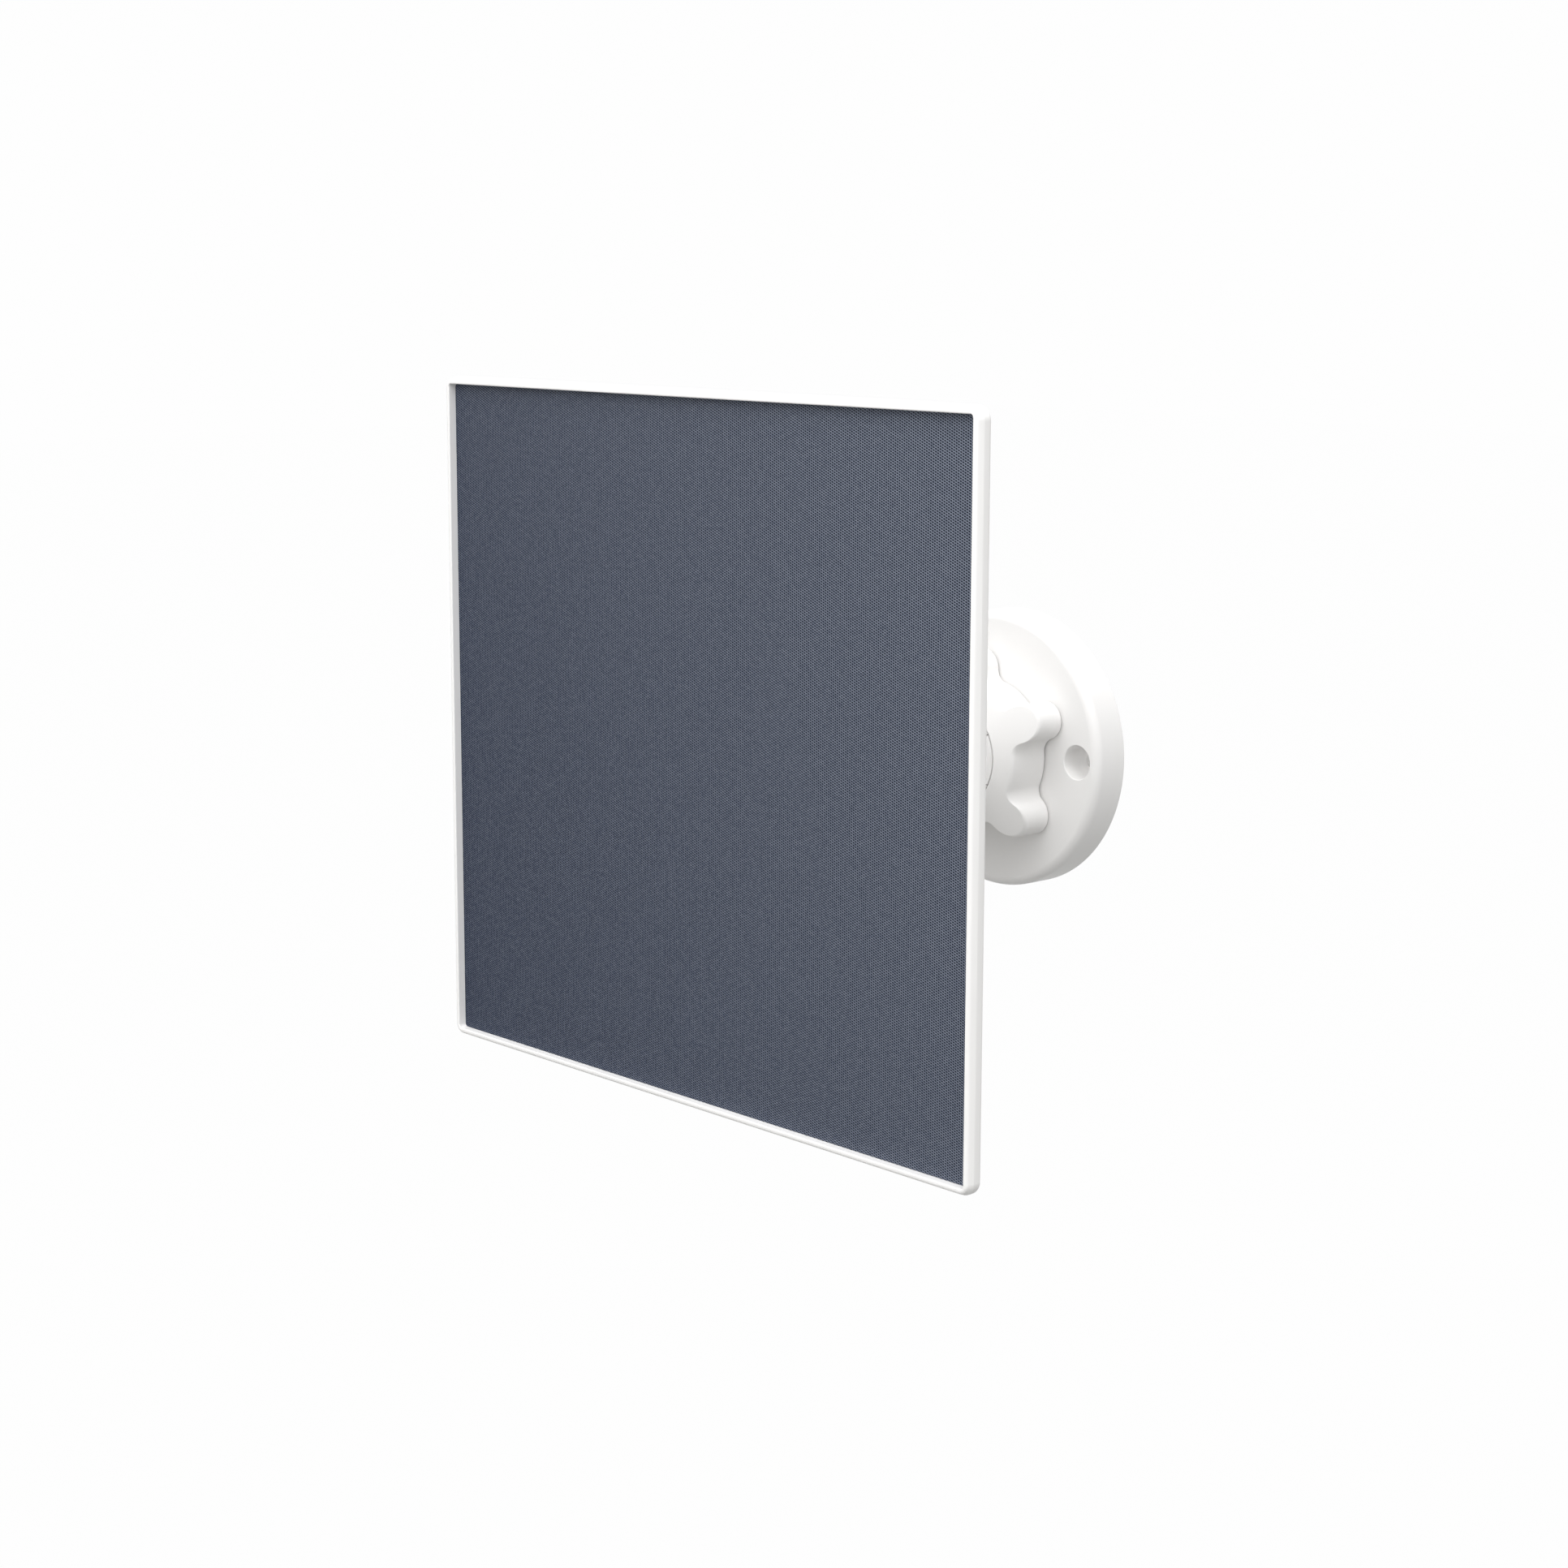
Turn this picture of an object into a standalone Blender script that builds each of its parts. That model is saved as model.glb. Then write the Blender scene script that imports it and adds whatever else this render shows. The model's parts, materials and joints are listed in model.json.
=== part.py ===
"""Small solar panel on a ball-joint wall bracket, one object for each piece.

The wall is the plane y = 0 and the bracket's axis is the Y axis, so the origin is the
centre of the wall plate's back. The panel faces -Y, +X is to the right seen from the
front and +Z is up. Sizes are in metres, written as millimetres times MM.
"""

import math

import bmesh
import bpy
from mathutils import Matrix, Vector

MM = 0.001

# Fits: what rests on or runs in its neighbour keeps this gap to it
SEAT_GAP = 0.3 * MM

# Panel outline, rim and edge
PANEL_WIDTH = 184.6 * MM
PANEL_HEIGHT = 166.7 * MM
PANEL_CORNER_R = 3.2 * MM
SMALLEST_CORNER_R = 1.0 * MM
RIM_WIDTH = 1.8 * MM
RIM_CROWN_INSET = 0.55 * MM
RIM_CROWN_DEPTH = 1.4 * MM
RIM_OUTER_FILLET = 1.2 * MM
RIM_INNER_FILLET = 0.3 * MM
RECESS_DEPTH = 2.0 * MM
EDGE_THICKNESS = 4.0 * MM
EDGE_REAR_FILLET = 1.2 * MM
BACK_SLOPE_RUN = 13.0 * MM
BACK_SLOPE_FILLET = 8.0 * MM
BACK_FLAT_INSET = 26.0 * MM
TRAY_FLOOR = 1.8 * MM
POCKET_INSET = 11.0 * MM

# Layers behind the rim, front to back
FILM_THICKNESS = 0.5 * MM
CELL_THICKNESS = 0.3 * MM
BOARD_THICKNESS = 1.0 * MM
TAPE_THICKNESS = 0.6 * MM
TAPE_WIDTH = 9.0 * MM

# Cells
CELL_COLUMNS = 2
CELL_ROWS = 6
CELL_SPACING = 1.0 * MM
CELL_EDGE_MARGIN = 1.5 * MM

# Where the panel stands from the wall and from the bracket's axis
PANEL_STANDOFF = 111.1 * MM
PANEL_RISE = 9.1 * MM

# Rear housing
GASKET_THICKNESS = 1.0 * MM
HOUSING_FOOT_R = 32.0 * MM
HOUSING_FOOT_WIDTH = 5.0 * MM
HOUSING_FOOT_THICKNESS = 1.6 * MM
HOUSING_DEPTH = 11.5 * MM
HOUSING_WALL = 2.2 * MM
HOUSING_SHOULDER = 2.6 * MM
HOUSING_DRAFT = 1.8 * MM
HOUSING_FILLET = 2.5 * MM
HOUSING_PAD_R = 12.0 * MM
HOUSING_PAD_HEIGHT = 0.8 * MM
INSERT_BOSS_WALL = 3.2 * MM
INSERT_BOSS_FLOOR = 1.2 * MM

# Camera-thread stud, insert, washer and jam wheel
STUD_R = 3.175 * MM
STUD_TIP_CHAMFER = 0.6 * MM
STUD_IN_STEM = 14.0 * MM
STUD_IN_INSERT = 6.5 * MM
INSERT_WALL = 1.6 * MM
INSERT_LENGTH = 8.0 * MM
INSERT_GROOVE = 0.5 * MM
INSERT_GROOVE_WIDTH = 1.6 * MM
WASHER_R = 11.0 * MM
WASHER_THICKNESS = 1.2 * MM
WHEEL_R = 13.0 * MM
WHEEL_THICKNESS = 7.0 * MM
WHEEL_FLUTES = 16
WHEEL_FLUTE_DEPTH = 0.9 * MM
WHEEL_FILLET = 0.9 * MM

# Housing screws
SCREW_COUNT = 4
SCREW_WALL_CLEARANCE = 1.65 * MM
SCREW_FIRST_ANGLE = math.radians(45.0)
SCREW_SHANK_R = 1.25 * MM
SCREW_HEAD_R = 2.6 * MM
SCREW_HEAD_HEIGHT = 1.6 * MM
SCREW_SEAT_WALL = 1.0 * MM
SCREW_PILLAR_WALL = 1.6 * MM
SCREW_LENGTH = 7.0 * MM

# Cable gland, in the housing's lower wall
GLAND_BORE_R = 2.2 * MM
GLAND_WALL = 0.9 * MM
GLAND_FLANGE_WIDTH = 1.1 * MM
GLAND_FLANGE_THICKNESS = 1.6 * MM
GLAND_LENGTH = 8.0 * MM
GLAND_BOSS_MARGIN = 0.8 * MM
GLAND_BOSS_INSET = 1.0 * MM

# Circuit board, diode and leads, inside the housing above the insert's boss
CIRCUIT_PILLAR_GAP = 1.4164 * MM
CIRCUIT_WALL_GAP = 3.41863 * MM
CIRCUIT_THICKNESS = 1.2 * MM
CIRCUIT_CLEARANCE = 2.0 * MM
CIRCUIT_RIB_HEIGHT = 1.2 * MM
CIRCUIT_RIB_THICKNESS = 1.5 * MM
CIRCUIT_RIB_INSET = 1.0 * MM
DIODE_SIZE = Vector((4.4, 2.2, 2.7)) * MM
DIODE_CHAMFER = 0.4 * MM
LEAD_R = 0.6 * MM
LEAD_SPREAD = 0.35
LEAD_SLOT_MARGIN = 1.4 * MM

# Wall plate
PLATE_R = 34.8 * MM
PLATE_THICKNESS = 10.0 * MM
PLATE_FRONT_FILLET = 2.3 * MM
PLATE_REAR_FILLET = 0.5 * MM
PLATE_SKIN = 2.8 * MM
PLATE_CORE_WALL = 1.8 * MM
PLATE_FLOOR = 3.0 * MM
PLATE_RIBS = 6
PLATE_RIB_THICKNESS = 1.6 * MM
PLATE_RIB_SETBACK = 1.0 * MM
WALL_HOLES = 3
WALL_HOLE_CIRCLE_R = 28.0 * MM
WALL_HOLE_R = 2.25 * MM
COUNTERBORE_R = 4.2 * MM
COUNTERBORE_DEPTH = 6.0 * MM
COUNTERBORE_FILLET = 0.8 * MM
WALL_BOSS_WALL = 2.2 * MM
WALL_BOSS_SETBACK = 0.4 * MM

# Ball, socket and seat
BALL_R = 12.0 * MM
SOCKET_WALL = 2.4 * MM
SOCKET_LIP_RISE = 6.3 * MM
SOCKET_LIP_WALL = 2.0 * MM
SOCKET_LIP_LAND = 0.9 * MM
SOCKET_SLOT_WIDTH = 1.2 * MM
SOCKET_SLOT_PAIRS = 3
SOCKET_SLOT_FLOOR = 2.5 * MM
SEAT_R = 8.0 * MM
SEAT_THICKNESS = 1.9 * MM

# Stem
STEM_NECK_R = 4.5 * MM
STEM_WAIST_R = 6.2 * MM
STEM_END_R = 7.4 * MM
STEM_FLANGE_R = 10.0 * MM
STEM_FLANGE_LENGTH = 5.0 * MM
STEM_NECK_LENGTH = 8.0 * MM
STEM_FILLET = 1.5 * MM

# Lock ring
RING_LOBES = 5
RING_FIRST_LOBE = math.radians(27.0)
RING_WALL = 2.8 * MM
RING_TIP_ROUND_R = 4.7 * MM
RING_LOBE_HEIGHT = 7.7 * MM
RING_VALLEY_FILLET = 3.4 * MM
RING_CONE_SLOPE = 0.46
RING_EDGE_FILLET = 1.3 * MM
RING_MOUTH_LIP = 1.1 * MM
RING_PLATE_GAP = 0.4 * MM
RING_REAR_FILLET = 0.5 * MM

# Facets
PLATE_STEPS = 48
HOUSING_STEPS = 32
STEM_STEPS = 24
SMALL_STEPS = 20
FINE_STEPS = 12
ARC_STEPS = 4
COARSE_ARC_STEPS = 3
TRIM_ARC_STEPS = 2
BALL_ARC_STEPS = 12
CUP_ARC_STEPS = 6
TIP_ARC_STEPS = 5
FLUTE_STEPS = 4
WELD = 0.001 * MM

# Depths behind the rim's front plane, worked out from the layers
FILM_FRONT = RECESS_DEPTH
LEDGE = FILM_FRONT + FILM_THICKNESS + SEAT_GAP
CELL_FRONT = LEDGE
BOARD_FRONT = CELL_FRONT + CELL_THICKNESS + SEAT_GAP
TAPE_FRONT = BOARD_FRONT + BOARD_THICKNESS + SEAT_GAP
FLOOR_FRONT = TAPE_FRONT + TAPE_THICKNESS + SEAT_GAP
TRAY_BACK = FLOOR_FRONT + TRAY_FLOOR
GASKET_FRONT = TRAY_BACK + SEAT_GAP
HOUSING_FRONT = GASKET_FRONT + GASKET_THICKNESS + SEAT_GAP
HOUSING_BACK = HOUSING_FRONT + HOUSING_DEPTH
HOUSING_INSIDE = HOUSING_BACK - HOUSING_WALL
PAD_BACK = HOUSING_BACK + HOUSING_PAD_HEIGHT
WASHER_FRONT = PAD_BACK + SEAT_GAP
WHEEL_FRONT = WASHER_FRONT + WASHER_THICKNESS + SEAT_GAP
STEM_FRONT = WHEEL_FRONT + WHEEL_THICKNESS + SEAT_GAP

# Places along the bracket's axis, measured from the wall towards the panel
RIM_FRONT_Y = -PANEL_STANDOFF
BALL_Y = -(PLATE_FLOOR + SEAT_GAP + SEAT_THICKNESS + SEAT_GAP + BALL_R)
PLATE_FRONT_Y = -PLATE_THICKNESS
SOCKET_R = BALL_R + SEAT_GAP
SOCKET_OUTER_R = SOCKET_R + SOCKET_WALL
PLATE_CORE_R = SOCKET_OUTER_R + PLATE_CORE_WALL
LIP_Y = BALL_Y - SOCKET_LIP_RISE
LIP_INNER_R = math.sqrt(SOCKET_R ** 2 - SOCKET_LIP_RISE ** 2)
LIP_OUTER_R = LIP_INNER_R + SOCKET_LIP_WALL
RING_BORE_R = SOCKET_OUTER_R + SEAT_GAP
RING_VALLEY_R = RING_BORE_R + RING_WALL
RING_TIP_R = RING_VALLEY_R + RING_LOBE_HEIGHT
RING_MOUTH_R = LIP_OUTER_R + SEAT_GAP
RING_REAR_Y = PLATE_FRONT_Y - RING_PLATE_GAP
RING_FRONT_Y = LIP_Y - SEAT_GAP
HOUSING_SHOULDER_R = HOUSING_FOOT_R - HOUSING_SHOULDER
HOUSING_TOP_R = HOUSING_SHOULDER_R - HOUSING_DRAFT
HOUSING_INNER_R = HOUSING_TOP_R - HOUSING_WALL
SCREW_HOLE_R = SCREW_SHANK_R + SEAT_GAP
SCREW_PILLAR_R = SCREW_HOLE_R + SCREW_PILLAR_WALL
SCREW_CIRCLE_R = HOUSING_INNER_R - SCREW_PILLAR_R - SCREW_WALL_CLEARANCE
STUD_BORE_R = STUD_R + SEAT_GAP
INSERT_R = STUD_BORE_R + INSERT_WALL
INSERT_BACK = PAD_BACK - SEAT_GAP
INSERT_FRONT = INSERT_BACK - INSERT_LENGTH
CIRCUIT_FRONT = TRAY_BACK + CIRCUIT_RIB_HEIGHT + SEAT_GAP
CIRCUIT_BASE_Z = INSERT_R + SEAT_GAP + INSERT_BOSS_WALL + CIRCUIT_CLEARANCE
CIRCUIT_SIDE_X = SCREW_CIRCLE_R * math.cos(SCREW_FIRST_ANGLE) - SCREW_PILLAR_R - CIRCUIT_PILLAR_GAP
CIRCUIT_TOP_Z = math.sqrt((HOUSING_INNER_R - CIRCUIT_WALL_GAP) ** 2 - CIRCUIT_SIDE_X ** 2)
CIRCUIT_MIDDLE_Z = (CIRCUIT_BASE_Z + CIRCUIT_TOP_Z) / 2.0
LEAD_X = LEAD_SPREAD * CIRCUIT_SIDE_X


def behind_rim(depth):
    """World y of a depth behind the rim's front plane."""
    return RIM_FRONT_Y + depth


def remove_everything():
    """Start from an empty scene."""
    for obj in list(bpy.data.objects):
        bpy.data.objects.remove(obj, do_unlink=True)


def finish(name, colour, roughness, metallic=0.0):
    """A plain material with one colour."""
    material = bpy.data.materials.new(name)
    material.use_nodes = True
    shader = material.node_tree.nodes["Principled BSDF"]
    shader.inputs["Base Color"].default_value = (*colour, 1.0)
    shader.inputs["Roughness"].default_value = roughness
    shader.inputs["Metallic"].default_value = metallic
    material.diffuse_color = (*colour, 1.0)
    return material


def pivot(name, place, parent=None):
    """An empty on a joint's axis, which carries the pieces that turn there."""
    empty = bpy.data.objects.new(name, None)
    empty.empty_display_size = 10.0 * MM
    bpy.context.scene.collection.objects.link(empty)
    empty.parent = parent
    above = parent.matrix_world.translation if parent else Vector()
    empty.location = Vector(place) - above
    bpy.context.view_layer.update()
    return empty


def piece(name, shape, material, parent, sharp_angle=35.0):
    """Make a named object from a shape given in world places, with its origin on its parent."""
    mesh = bpy.data.meshes.new(name)
    shape.to_mesh(mesh)
    shape.free()
    mesh.transform(Matrix.Translation(-parent.matrix_world.translation))
    mesh.materials.append(material)
    mesh.shade_smooth()
    mesh.set_sharp_from_angle(angle=math.radians(sharp_angle))
    obj = bpy.data.objects.new(name, mesh)
    bpy.context.scene.collection.objects.link(obj)
    obj.parent = parent
    return obj


def rounded(corners, steps=ARC_STEPS):
    """Points along (a, b, fillet) corners, with an arc at each corner that has a fillet."""
    points = []
    for i, (a, b, fillet) in enumerate(corners):
        here = Vector((a, b))
        if fillet <= 0.0:
            points.append(here)
            continue
        back = (Vector(corners[i - 1][:2]) - here).normalized()
        ahead = (Vector(corners[(i + 1) % len(corners)][:2]) - here).normalized()
        half_angle = back.angle(ahead) / 2.0
        centre = here + (back + ahead).normalized() * (fillet / math.sin(half_angle))
        reach = fillet / math.tan(half_angle)
        start = (here + back * reach - centre).normalized()
        end = (here + ahead * reach - centre).normalized()
        for k in range(steps + 1):
            points.append(centre + fillet * start.slerp(end, k / steps))
    return points


def arc(centre_a, centre_b, radius, start, end, steps):
    """Points on an arc in the profile plane, from one angle to another."""
    points = []
    for k in range(steps + 1):
        angle = start + (end - start) * k / steps
        points.append(Vector((centre_a + radius * math.cos(angle), centre_b + radius * math.sin(angle))))
    return points


def turned(profile, steps, closed=False):
    """Turn (radius, y) points about the Y axis; a closed profile makes a ring."""
    shape = bmesh.new()
    verts = [shape.verts.new((radius, y, 0.0)) for radius, y in profile]
    edges = [shape.edges.new(pair) for pair in zip(verts, verts[1:])]
    if closed:
        edges.append(shape.edges.new((verts[-1], verts[0])))
    bmesh.ops.spin(shape, geom=verts + edges, cent=(0, 0, 0), axis=(0, 1, 0),
                   angle=2.0 * math.pi, steps=steps, use_merge=True)
    bmesh.ops.remove_doubles(shape, verts=shape.verts, dist=WELD)
    bmesh.ops.recalc_face_normals(shape, faces=shape.faces)
    return shape


def lofted(loops, ring=False):
    """Skin a row of loops with the same number of points; a ring joins the last to the first."""
    shape = bmesh.new()
    rows = [[shape.verts.new(point) for point in loop] for loop in loops]
    pairs = list(zip(rows, rows[1:]))
    if ring:
        pairs.append((rows[-1], rows[0]))
    else:
        shape.faces.new(rows[0])
        shape.faces.new(rows[-1])
    for row, following in pairs:
        for i in range(len(row)):
            j = (i + 1) % len(row)
            shape.faces.new((row[i], row[j], following[j], following[i]))
    bmesh.ops.recalc_face_normals(shape, faces=shape.faces)
    return shape


def block(low, high):
    """A box between two corners."""
    shape = bmesh.new()
    low = Vector(low)
    high = Vector(high)
    place = Matrix.Translation((low + high) / 2.0) @ Matrix.Diagonal((*(high - low), 1.0))
    bmesh.ops.create_cube(shape, size=1.0, matrix=place)
    return shape


def moved(shape, place):
    """Shift a shape."""
    bmesh.ops.translate(shape, verts=shape.verts, vec=place)
    return shape


def turned_round(shape, angle):
    """Turn a shape about the bracket's axis, counter-clockwise seen from the front."""
    bmesh.ops.rotate(shape, verts=shape.verts, cent=(0, 0, 0), matrix=Matrix.Rotation(-angle, 3, "Y"))
    return shape


def combine(body, tool, operation):
    """Boolean of two closed shapes with the exact solver; both are used up."""
    objects = []
    for shape in (body, tool):
        mesh = bpy.data.meshes.new("shape")
        shape.to_mesh(mesh)
        shape.free()
        obj = bpy.data.objects.new("shape", mesh)
        bpy.context.scene.collection.objects.link(obj)
        objects.append(obj)
    modifier = objects[0].modifiers.new("Combine", "BOOLEAN")
    modifier.operation = operation
    modifier.solver = "EXACT"
    modifier.object = objects[1]
    result = bmesh.new()
    result.from_object(objects[0], bpy.context.evaluated_depsgraph_get())
    for obj in objects:
        mesh = obj.data
        bpy.data.objects.remove(obj, do_unlink=True)
        bpy.data.meshes.remove(mesh)
    bmesh.ops.dissolve_degenerate(result, dist=WELD, edges=result.edges)
    return result


def cylinder(radius, low_y, high_y, steps=SMALL_STEPS):
    """A plain round bar along the bracket's axis."""
    return turned([(0.0, low_y), (radius, low_y), (radius, high_y), (0.0, high_y)], steps)


def rounded_rectangle(width, height, radius, depth, rise=PANEL_RISE):
    """A loop with round corners, parallel to the panel, at a depth behind the rim."""
    corners = []
    for sign_x, sign_z in ((1, 1), (-1, 1), (-1, -1), (1, -1)):
        corners.append((sign_x * width / 2.0, sign_z * height / 2.0, radius))
    y = behind_rim(depth)
    return [(x, y, z + rise) for x, z in rounded(corners)]


def panel_loop(inset, depth):
    """The panel's outline drawn in by an inset, with its corners drawn in as well."""
    radius = max(PANEL_CORNER_R - inset, SMALLEST_CORNER_R)
    return rounded_rectangle(PANEL_WIDTH - 2 * inset, PANEL_HEIGHT - 2 * inset, radius, depth)


def slab(inset, front, thickness):
    """A flat sheet that follows the panel's outline."""
    return lofted([panel_loop(inset, front), panel_loop(inset, front + thickness)])


def screw_places():
    """Angle of each housing screw about the bracket's axis."""
    return [SCREW_FIRST_ANGLE + 2.0 * math.pi * k / SCREW_COUNT for k in range(SCREW_COUNT)]


def panel_tray():
    """Tray with a raised rim, a ledge for the film, a pocket for the board, and a sloped back."""
    section = rounded([
        (POCKET_INSET, FLOOR_FRONT, 0.0),
        (POCKET_INSET, LEDGE, 0.0),
        (RIM_WIDTH, LEDGE, 0.0),
        (RIM_WIDTH, 0.0, RIM_INNER_FILLET),
        (RIM_CROWN_INSET, 0.0, RIM_OUTER_FILLET),
        (0.0, RIM_CROWN_DEPTH, 0.0),
        (0.0, EDGE_THICKNESS, EDGE_REAR_FILLET),
        (BACK_SLOPE_RUN, TRAY_BACK, BACK_SLOPE_FILLET),
        (BACK_FLAT_INSET, TRAY_BACK, 0.0),
    ])
    tray = lofted([panel_loop(inset, depth) for inset, depth in section])
    floor_y = behind_rim(TRAY_BACK)
    into_floor_y = behind_rim(FLOOR_FRONT + TRAY_FLOOR / 2.0)
    pillar_top_y = behind_rim(HOUSING_INSIDE - SEAT_GAP)
    hole_low_y = behind_rim(HOUSING_INSIDE + SCREW_SEAT_WALL - SCREW_LENGTH)
    for angle in screw_places():
        pillar = moved(cylinder(SCREW_PILLAR_R, into_floor_y, pillar_top_y), (SCREW_CIRCLE_R, 0, 0))
        tray = combine(tray, turned_round(pillar, angle), "UNION")
        hole = cylinder(SCREW_HOLE_R, hole_low_y, pillar_top_y + SEAT_GAP)
        hole = moved(hole, (SCREW_CIRCLE_R, 0, 0))
        tray = combine(tray, turned_round(hole, angle), "DIFFERENCE")
    for side in (-1, 1):
        rib_x = side * (CIRCUIT_SIDE_X - CIRCUIT_RIB_INSET - CIRCUIT_RIB_THICKNESS / 2.0)
        low = (rib_x - CIRCUIT_RIB_THICKNESS / 2.0, into_floor_y, CIRCUIT_BASE_Z)
        high = (rib_x + CIRCUIT_RIB_THICKNESS / 2.0, floor_y + CIRCUIT_RIB_HEIGHT, CIRCUIT_TOP_Z)
        tray = combine(tray, block(low, high), "UNION")
    half_width = LEAD_X + LEAD_R + LEAD_SLOT_MARGIN
    half_height = LEAD_R + LEAD_SLOT_MARGIN
    slot = block((-half_width, behind_rim(FLOOR_FRONT) - SEAT_GAP, CIRCUIT_MIDDLE_Z - half_height),
                 (half_width, floor_y + SEAT_GAP, CIRCUIT_MIDDLE_Z + half_height))
    return combine(tray, slot, "DIFFERENCE")


def cover_film():
    """Front film, dropped in behind the rim."""
    return slab(RIM_WIDTH + SEAT_GAP, FILM_FRONT, FILM_THICKNESS)


def backing_board():
    """Board that fills the tray's pocket behind the cells."""
    return slab(POCKET_INSET + SEAT_GAP, BOARD_FRONT, BOARD_THICKNESS)


def board_tape():
    """Frame of bonding tape between the board's edge and the pocket's floor."""
    outer = POCKET_INSET + SEAT_GAP
    inner = outer + TAPE_WIDTH
    back = TAPE_FRONT + TAPE_THICKNESS
    places = ((outer, TAPE_FRONT), (inner, TAPE_FRONT), (inner, back), (outer, back))
    return lofted([panel_loop(inset, depth) for inset, depth in places], ring=True)


def solar_cell(column, row):
    """One cell of the grid that covers the board."""
    margin = POCKET_INSET + SEAT_GAP + CELL_EDGE_MARGIN
    width = (PANEL_WIDTH - 2 * margin - (CELL_COLUMNS - 1) * CELL_SPACING) / CELL_COLUMNS
    height = (PANEL_HEIGHT - 2 * margin - (CELL_ROWS - 1) * CELL_SPACING) / CELL_ROWS
    left = -PANEL_WIDTH / 2 + margin + column * (width + CELL_SPACING)
    top = PANEL_RISE + PANEL_HEIGHT / 2 - margin - row * (height + CELL_SPACING)
    return block((left, behind_rim(CELL_FRONT), top - height),
                 (left + width, behind_rim(CELL_FRONT + CELL_THICKNESS), top))


def rear_housing():
    """Turned cover with a foot, a blind boss for the insert, screw seats and a gland boss."""
    foot_inner_r = HOUSING_FOOT_R - HOUSING_FOOT_WIDTH
    bore_r = INSERT_R + SEAT_GAP
    bore_floor = INSERT_FRONT - SEAT_GAP
    boss_r = bore_r + INSERT_BOSS_WALL
    boss_front = bore_floor - INSERT_BOSS_FLOOR
    section = rounded([
        (0.0, boss_front, 0.0),
        (boss_r, boss_front, 0.0),
        (boss_r, HOUSING_INSIDE, 0.0),
        (HOUSING_INNER_R, HOUSING_INSIDE, 0.0),
        (foot_inner_r, HOUSING_FRONT, 0.0),
        (HOUSING_FOOT_R, HOUSING_FRONT, 0.0),
        (HOUSING_FOOT_R, HOUSING_FRONT + HOUSING_FOOT_THICKNESS, 0.0),
        (HOUSING_SHOULDER_R, HOUSING_FRONT + HOUSING_FOOT_THICKNESS, 0.0),
        (HOUSING_TOP_R, HOUSING_BACK, HOUSING_FILLET),
        (HOUSING_PAD_R, HOUSING_BACK, 0.0),
        (HOUSING_PAD_R, PAD_BACK, 0.0),
        (bore_r, PAD_BACK, 0.0),
        (bore_r, bore_floor, 0.0),
        (0.0, bore_floor, 0.0),
    ])
    housing = turned([(radius, behind_rim(depth)) for radius, depth in section], HOUSING_STEPS)
    gland_face_z = -(HOUSING_FOOT_R - GLAND_BOSS_INSET)
    boss_length = HOUSING_WALL + HOUSING_SHOULDER
    gland_boss = cylinder(gland_flange_r() + GLAND_BOSS_MARGIN, 0.0, boss_length)
    housing = combine(housing, gland_pointed_down(gland_boss, gland_face_z), "UNION")
    gland_hole = cylinder(gland_r() + SEAT_GAP, -SEAT_GAP, 2.0 * boss_length)
    housing = combine(housing, gland_pointed_down(gland_hole, gland_face_z), "DIFFERENCE")
    seat_y = behind_rim(HOUSING_INSIDE + SCREW_SEAT_WALL)
    above_y = behind_rim(PAD_BACK)
    below_y = behind_rim(HOUSING_INSIDE - SEAT_GAP)
    for angle in screw_places():
        seat = turned([(0.0, below_y), (SCREW_HOLE_R, below_y),
                       (SCREW_HOLE_R, seat_y), (SCREW_HEAD_R + SEAT_GAP, seat_y),
                       (SCREW_HEAD_R + SEAT_GAP, above_y), (0.0, above_y)], SMALL_STEPS)
        seat = turned_round(moved(seat, (SCREW_CIRCLE_R, 0, 0)), angle)
        housing = combine(housing, seat, "DIFFERENCE")
    return housing


def gland_r():
    """Outer radius of the gland's barrel."""
    return GLAND_BORE_R + GLAND_WALL


def gland_flange_r():
    """Radius of the gland's flange."""
    return gland_r() + GLAND_FLANGE_WIDTH


def gland_pointed_down(shape, face_z):
    """Turn a shape made along +Y so that it runs up from a face under the housing."""
    depth = (HOUSING_FRONT + HOUSING_FOOT_THICKNESS + HOUSING_BACK) / 2.0
    bmesh.ops.rotate(shape, verts=shape.verts, cent=(0, 0, 0), matrix=Matrix.Rotation(math.pi / 2.0, 3, "X"))
    return moved(shape, (0.0, behind_rim(depth), face_z))


def cable_gland():
    """Flanged bush with a through bore for the lead."""
    face_z = -(HOUSING_FOOT_R - GLAND_BOSS_INSET)
    barrel_top = GLAND_LENGTH - GLAND_FLANGE_THICKNESS
    section = [
        (GLAND_BORE_R, barrel_top),
        (gland_r(), barrel_top),
        (gland_r(), -SEAT_GAP),
        (gland_flange_r(), -SEAT_GAP),
        (gland_flange_r(), -SEAT_GAP - GLAND_FLANGE_THICKNESS),
        (GLAND_BORE_R, -SEAT_GAP - GLAND_FLANGE_THICKNESS),
    ]
    return gland_pointed_down(turned(section, SMALL_STEPS, closed=True), face_z)


def housing_gasket():
    """Flat seal under the housing's foot."""
    inner = HOUSING_FOOT_R - HOUSING_FOOT_WIDTH
    front = behind_rim(GASKET_FRONT)
    back = behind_rim(GASKET_FRONT + GASKET_THICKNESS)
    section = [(inner, front), (inner, back), (HOUSING_FOOT_R, back), (HOUSING_FOOT_R, front)]
    return turned(section, HOUSING_STEPS, closed=True)


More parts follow.
